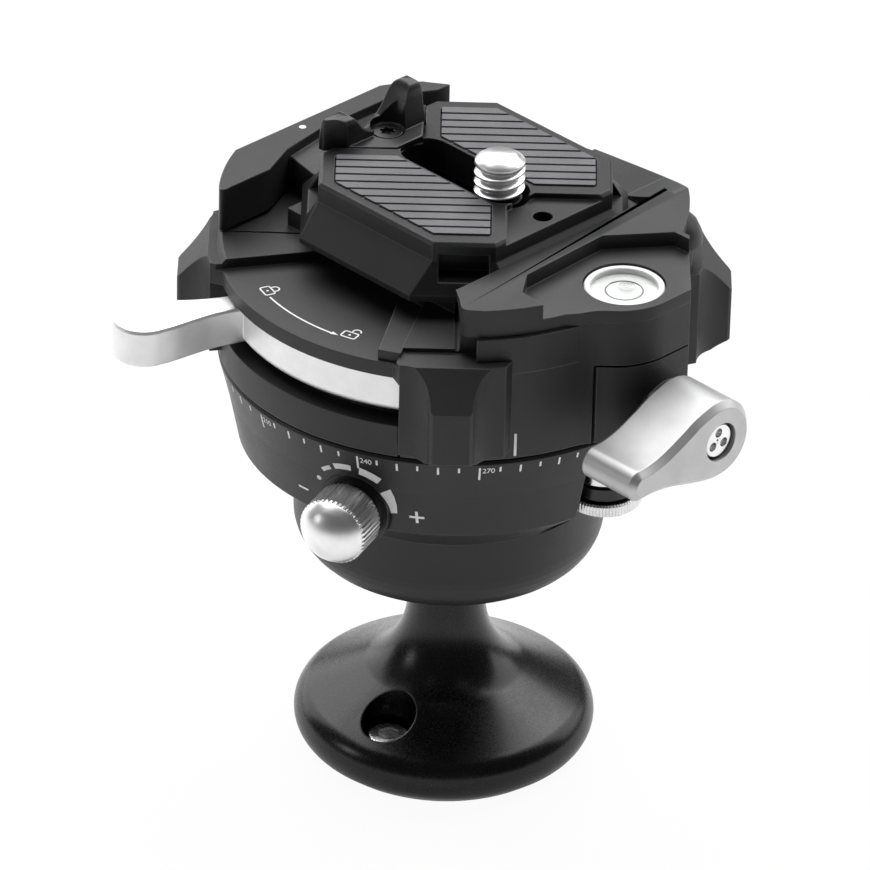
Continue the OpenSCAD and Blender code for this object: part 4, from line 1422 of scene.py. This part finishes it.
@dataclass
class MovingJaw:
    """Moving jaw with its dovetail lip, driven by the tongue."""

    low: float = 73.3
    top: float = 79.2
    lip_top: float = 77.8

    def build(self) -> None:
        """Make the jaw, dress the tongue and lay the small dot."""
        left = smooth_chain([(-20.6, 21.0), (-20.9, 20.5), (-20.3, 20.15), (-19.4, 20.2)], 3)
        outline = [*left, (-12.7, 20.2), (-7.6, 22.5), (-1, 23.6), (12.5, 23.6), (17.2, 20.9), (19.4, 20.9),
                   (17.9, 23.0), *arc((0, 0), 29.5, 54, 64.9, 6), *arc((0, 0), 29.5, 115.1, 133, 12)]
        jaw = prism("moving_jaw", outline, self.low, self.top)
        lip = prism("lip", [(18.48, self.low), (18.48, 76.2), (16.97, self.lip_top), (24.2, self.lip_top),
                            (24.2, self.low)], -12, 16)
        settle(lip, turned(90) @ turned(90, "X"))
        cut(lip, prism("lip_plan", [(-8.4, 15), (14, 15), (14, 25), (-6.4, 25)], 70, 80), Cut.KEEP)
        cut(jaw, lip, Cut.ON)
        ease(jaw, 0.28, 3, 38)
        mount(tidy_mesh(jaw, 32), "moving_jaw", JAW, "jaw_black", "moving_jaw")
        coat(INNER, "jaw_tongue")
        dot = prism("jaw_dot", arc((-2.3, 25.3), 0.45, 0, 345, 23), self.top, self.top + 0.03)
        mount(dot, "moving_jaw", INK, "level_white")


@dataclass
class Level:
    """Round level in the fixed jaw."""

    radius: float = 5.0
    low: float = 75.5
    high: float = 77.0
    lens_r: float = 60.0

    def build(self) -> None:
        """Make the white cup, the black ring, the bubble and the lens."""
        floor = self.high - 0.75
        r = self.radius
        inside = r - 0.85
        cup = lathe("level_cup", [(0, self.low + 0.01), (r, self.low + 0.01), (r, self.high - 0.15),
                                  (r - 0.15, self.high), (r - 0.75, self.high), (inside, self.high - 0.1),
                                  (inside, floor), (0, floor)], 96)
        self.seat(cup, WHITE, "level_white", "level_body")
        printed = [(2.2, floor + 0.005), (2.42, floor + 0.005), (2.42, floor + 0.03), (2.2, floor + 0.03)]
        self.seat(lathe("level_ring", printed, 72, True), MARK, "level_white")
        bubble = lathe("level_bubble", [(0, floor + 0.32), (1.02, floor + 0.32)]
                       + arc((1.02, floor + 0.44), 0.12, -90, 90, 8)[1:] + [(0, floor + 0.56)], 48)
        settle(bubble, at(0.35, -0.1))
        self.seat(bubble, Clear("level bubble", (0.86, 0.86, 0.86)), "level_clear")
        crown = arc((0, self.high - self.lens_r), self.lens_r + 0.02, 86.1, 90, 12)
        lens = lathe("level_lens", [(0, floor + 0.62), (r - 0.87, floor + 0.62)] + crown, 96)
        self.seat(lens, LENS, "level_clear", "level_glass")

    def seat(self, obj: Piece, finish: Finish, slot: str, *nodes: str) -> None:
        """Put a part that was made about the Z axis into the level's place and mount it."""
        mount(settle(obj, at(*LEVEL_AT)), "upper", finish, slot, *nodes)


@dataclass
class QuickPlate:
    """Square dovetail plate with its ribbed pads."""

    def build(self) -> None:
        """Dress the plate, the pads and the retainer."""
        coat(PLATE, "plate_body")
        coat(PAD, "pad_right", "pad_left")
        coat(COATED, "screw_slider")


@dataclass
class CameraScrew:
    """Camera screw with a helical thread and a turned end."""

    x: float = 0.9
    y: float = -6.5
    radius: float = 3.175
    pitch: float = 1.27
    plate_top: float = 82.4
    length: float = 4.8
    under: float = 75.6
    depth: float = 0.72
    neck: float = 2.44
    head: float = 4.0
    flange: float = 0.94
    # Steel faces below this height are painted dark as shade under the plate.
    dark_below: float = 80.0

    def build(self) -> None:
        """Make the screw."""
        crest, core = self.radius, self.radius - self.depth
        foot, top = self.under + self.flange, self.plate_top + self.length
        profile = [(0, self.under), (self.head - 0.3, self.under), (self.head, self.under + 0.3),
                   (self.head, foot), (self.neck, foot), (self.neck, self.plate_top - 0.2),
                   (core, self.plate_top + 0.1), (core, top - 1.55), (crest - 0.12, top - 1.3),
                   (crest - 0.05, top - 1.15), (crest - 0.06, top - 0.8), (crest - 0.12, top - 0.7),
                   (2.15, top - 0.06), (2.05, top), (0, top)]
        body = lathe("camera_screw", profile, 96)
        cut(body, block("screw_slot", (-5, -0.6, self.under - 1), (5, 0.6, self.under + 0.5)))
        ridge = threaded("thread", self.radius, self.pitch, self.plate_top - 1.3, 3.4, self.depth)
        screw = settle(join("camera_screw", body, ridge), at(self.x, self.y))
        finish = Turned("camera screw steel", tone=0.8, shine=0.32, middle=(self.x, self.y, 0), ring=0.2,
                        depth=0.001)
        mount(tidy_mesh(screw, 40), "camera_screw", finish, "steel", "camera_screw")
        # Faces under the plate take the dark fittings finish: painted shade on the steel, not its colour.
        screw.data.materials.append(PALETTE.get(COATED))
        for face in screw.data.polygons:
            if face.center.z < self.dark_below * MM:
                face.material_index = 1


@dataclass
class TwistBracket:
    """Anti-twist bracket with a tall fin, a low horn and its countersunk screw."""

    x: float = 0.9
    y: float = -0.6
    seat: float = 81.62
    foot: float = 82.42
    top: float = 82.5
    hole_y: float = 13.9
    hole: float = 1.35
    mouth: float = 2.25
    softness: float = 0.32

    def horn(self, name: str, front: Sequence[Point], side: Sequence[Point], plan: Sequence[Point]) -> Piece:
        """One horn, the part that its three outlines share.

        Args:
            name: Name of the horn.
            front: Crest seen from the plate's middle, X and height over the base.
            side: Crest seen from the side, Y and height over the base.
            plan: Outline seen from above.

        Returns:
            The rounded horn.
        """
        def stood(crest: Sequence[Point]) -> Outline:
            curve = [(a, self.top + b) for a, b in smooth_chain(crest, 4)]
            return [(curve[0][0], self.seat + 0.3), *curve, (curve[-1][0], self.seat + 0.3)]

        slab = settle(prism(name, stood(front), -30, 30), turned(90, "X"))
        blade = settle(prism("blade", stood(side), -30, 30), turned(90) @ turned(90, "X"))
        cut(slab, blade, Cut.KEEP)
        cut(slab, prism("plan", plan, self.seat, 95), Cut.KEEP)
        return ease(slab, self.softness, 4, 32)

    def build(self) -> None:
        """Make the bracket and dress its screw."""
        base = ease(prism("twist_bracket", [(-2.3, 9.97), (2.3, 9.97), (8.16, 15.5), (-8.16, 15.5)],
                          self.seat, self.top), 0.12, 2)
        fin = self.horn(
            "fin",
            front=[(0.2, 0.5), (1.5, 1.9), (2.7, 4.3), (3.5, 5.35), (4.2, 5.5), (4.8, 5.35), (5.1, 4.4),
                   (5.2, 1.0)],
            side=[(12.4, 0.0), (12.9, 2.2), (13.3, 4.7), (14.1, 5.4), (15.4, 5.4), (16.4, 4.3), (16.8, 0.4)],
            plan=[(0, 16.9), (0, 14.6), (2.6, 11.6), (5.6, 11.6), (5.6, 16.9)])
        low = self.horn(
            "low_horn",
            front=[(-8.95, 0.2), (-8.9, 3.2), (-8.2, 3.8), (-6.0, 3.8), (-5.1, 3.0), (-4.2, 1.7),
                   (-3.1, 0.95), (-1.9, 0.6)],
            side=[(14.0, 0.0), (14.1, 2.9), (14.7, 3.7), (15.6, 3.85), (16.5, 3.6), (17.0, 0.3)],
            plan=[(-8.95, 16.95), (-8.95, 16.2), (-6.8, 14.05), (-1.8, 14.05), (-1.8, 16.95)])
        saddle = ease(block("saddle", (-4.4, 15.0, self.seat + 0.3), (2.4, 16.8, self.foot + 1.0)), 0.3, 3)
        for piece in (fin, low, saddle):
            cut(base, piece, Cut.ON)
        profile = [(0, 80), (self.hole, 80), (self.hole, self.seat), (self.mouth, self.foot),
                   (self.mouth, 90), (0, 90)]
        bore = lathe("bracket_bore", profile, 64)
        cut(base, settle(bore, at(0, self.hole_y)))
        settle(base, at(self.x, self.y))
        mount(tidy_mesh(base, 28), "plate", BRACKET, "bracket_black", "twist_bracket")
        coat(COATED, "bracket_screw")


@dataclass
class Studio:
    """Camera at the photograph's angle, white floor and soft lights.

    Lengths are in millimetres, the elevation in degrees and the roll in radians.
    """

    focal_px: float = 8000.0
    frame_px: float = 870.0
    elevation: float = 31.06
    distance: float = 1008.568
    roll: float = 0.024139
    target_x: float = -1.9582
    target_z: float = 44.3259
    sensor: float = 36.0
    middle_z: float = 45.0
    world_light: float = 0.1
    floor_white: float = 0.93
    seen_share: float = 0.95
    mirrored_share: float = 0.4
    floor_size: float = 6000.0
    floor_drop: float = 0.2

    def camera(self) -> None:
        """Make the camera from the fitted view."""
        lift = math.radians(self.elevation)
        back = Vector((0, -math.cos(lift), math.sin(lift)))
        right = Vector((1, 0, 0))
        up = right.cross(-back)
        spot = Vector((self.target_x, 0, self.target_z)) + back * self.distance

        def to_object(p: Vector) -> Vector:
            return Vector(((p.x + p.y) / math.sqrt(2), (p.y - p.x) / math.sqrt(2), p.z))

        axes = Matrix((to_object(right), to_object(up), to_object(back))).transposed().to_4x4()
        axes.translation = to_object(spot) * MM
        data = bpy.data.cameras.new("camera")
        data.sensor_width = self.sensor
        data.lens = self.focal_px / self.frame_px * self.sensor
        data.clip_start = 0.05
        data.clip_end = 10.0
        eye = bpy.data.objects.new("camera", data)
        bpy.context.collection.objects.link(eye)
        eye.matrix_world = axes @ Matrix.Rotation(self.roll, 4, "Z")
        bpy.context.scene.camera = eye

    def lamp(self, name: str, azimuth: float, elevation: float, far: float, size: Point,
             watts: float) -> None:
        """Add a soft box that looks at the head.

        Args:
            name: Name of the light.
            azimuth: Direction in the photograph's frame, 0 in front, positive to the right.
            elevation: Height angle.
            far: Distance in millimetres.
            size: Width and height in millimetres.
            watts: Power.
        """
        data = bpy.data.lights.new(name, "AREA")
        data.shape = "RECTANGLE"
        data.size, data.size_y = size[0] * MM, size[1] * MM
        data.energy = watts
        obj = bpy.data.objects.new(name, data)
        bpy.context.collection.objects.link(obj)
        around = math.radians(azimuth + FRONT)
        lift = math.radians(elevation)
        way = Vector((math.cos(around) * math.cos(lift), math.sin(around) * math.cos(lift), math.sin(lift)))
        obj.location = Vector((0, 0, self.middle_z * MM)) + way * far * MM
        obj.rotation_euler = way.to_track_quat("Z", "Y").to_euler()

    def world(self) -> None:
        """White where it is seen, softer as a light."""
        world = bpy.data.worlds.new("studio")
        bpy.context.scene.world = world
        world.use_nodes = True
        graph = Graph(world.node_tree)
        out = graph.node("ShaderNodeOutputWorld")
        lit, seen = (graph.node("ShaderNodeBackground", Color=(1, 1, 1, 1), Strength=strength)
                     for strength in (self.world_light, 1.0))
        lights = (light.outputs["Background"] for light in (lit, seen))
        sky = graph.blend(graph.rays("Is Camera Ray"), *lights)
        graph.feed(sky, out.inputs["Surface"])

    def floor(self) -> None:
        """Wide pale floor that keeps the head's shadow."""
        deselect()
        bpy.ops.mesh.primitive_plane_add(size=self.floor_size * MM, location=(0, 0, -self.floor_drop * MM))
        ground = named("floor")
        material = bpy.data.materials.new("floor white")
        material.use_nodes = True
        graph = Graph(material.node_tree)
        out = graph.node("ShaderNodeOutputMaterial")
        matte = graph.node("ShaderNodeBsdfDiffuse", Color=(*(self.floor_white,) * 3, 1))
        glow = graph.node("ShaderNodeEmission", Color=(1, 1, 1, 1), Strength=1.0)
        mirrored = graph.combine("MULTIPLY", graph.rays("Is Glossy Ray"), self.mirrored_share)
        either = graph.combine("MAXIMUM", graph.rays("Is Camera Ray"), mirrored)
        share = graph.combine("MULTIPLY", either, self.seen_share)
        pale = graph.blend(share, matte.outputs["BSDF"], glow.outputs["Emission"])
        graph.feed(pale, out.inputs["Surface"])
        ground.data.materials.append(material)

    def build(self) -> None:
        """Set the stage."""
        self.camera()
        self.world()
        self.floor()
        self.lamp("top softbox", azimuth=178, elevation=64, far=900, size=(1500, 1150), watts=18.5)
        self.lamp("left softbox", azimuth=-138, elevation=22, far=850, size=(600, 700), watts=2.6)
        self.lamp("right softbox", azimuth=118, elevation=30, far=850, size=(500, 700), watts=2.4)
        self.lamp("catch light", azimuth=-76, elevation=20, far=900, size=(170, 170), watts=0.5)
        bpy.context.scene.view_settings.view_transform = "Standard"


def main() -> None:
    """Build and dress the head in order, then set the stage."""
    logging.basicConfig(level=logging.INFO, format="%(name)s: %(message)s")
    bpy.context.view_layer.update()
    for part in (Foot(), BallJoint(), Housing(), FrictionKnob(), PanLock(), UpperBody(), ReleaseLever(),
                 MainLever(), FixedJaw(), MovingJaw(), Level(), QuickPlate(), CameraScrew(), TwistBracket()):
        LOG.info("sub-assembly %s", type(part).__name__)
        part.build()
    Studio().build()
    deselect()


if __name__ == "__main__":
    main()
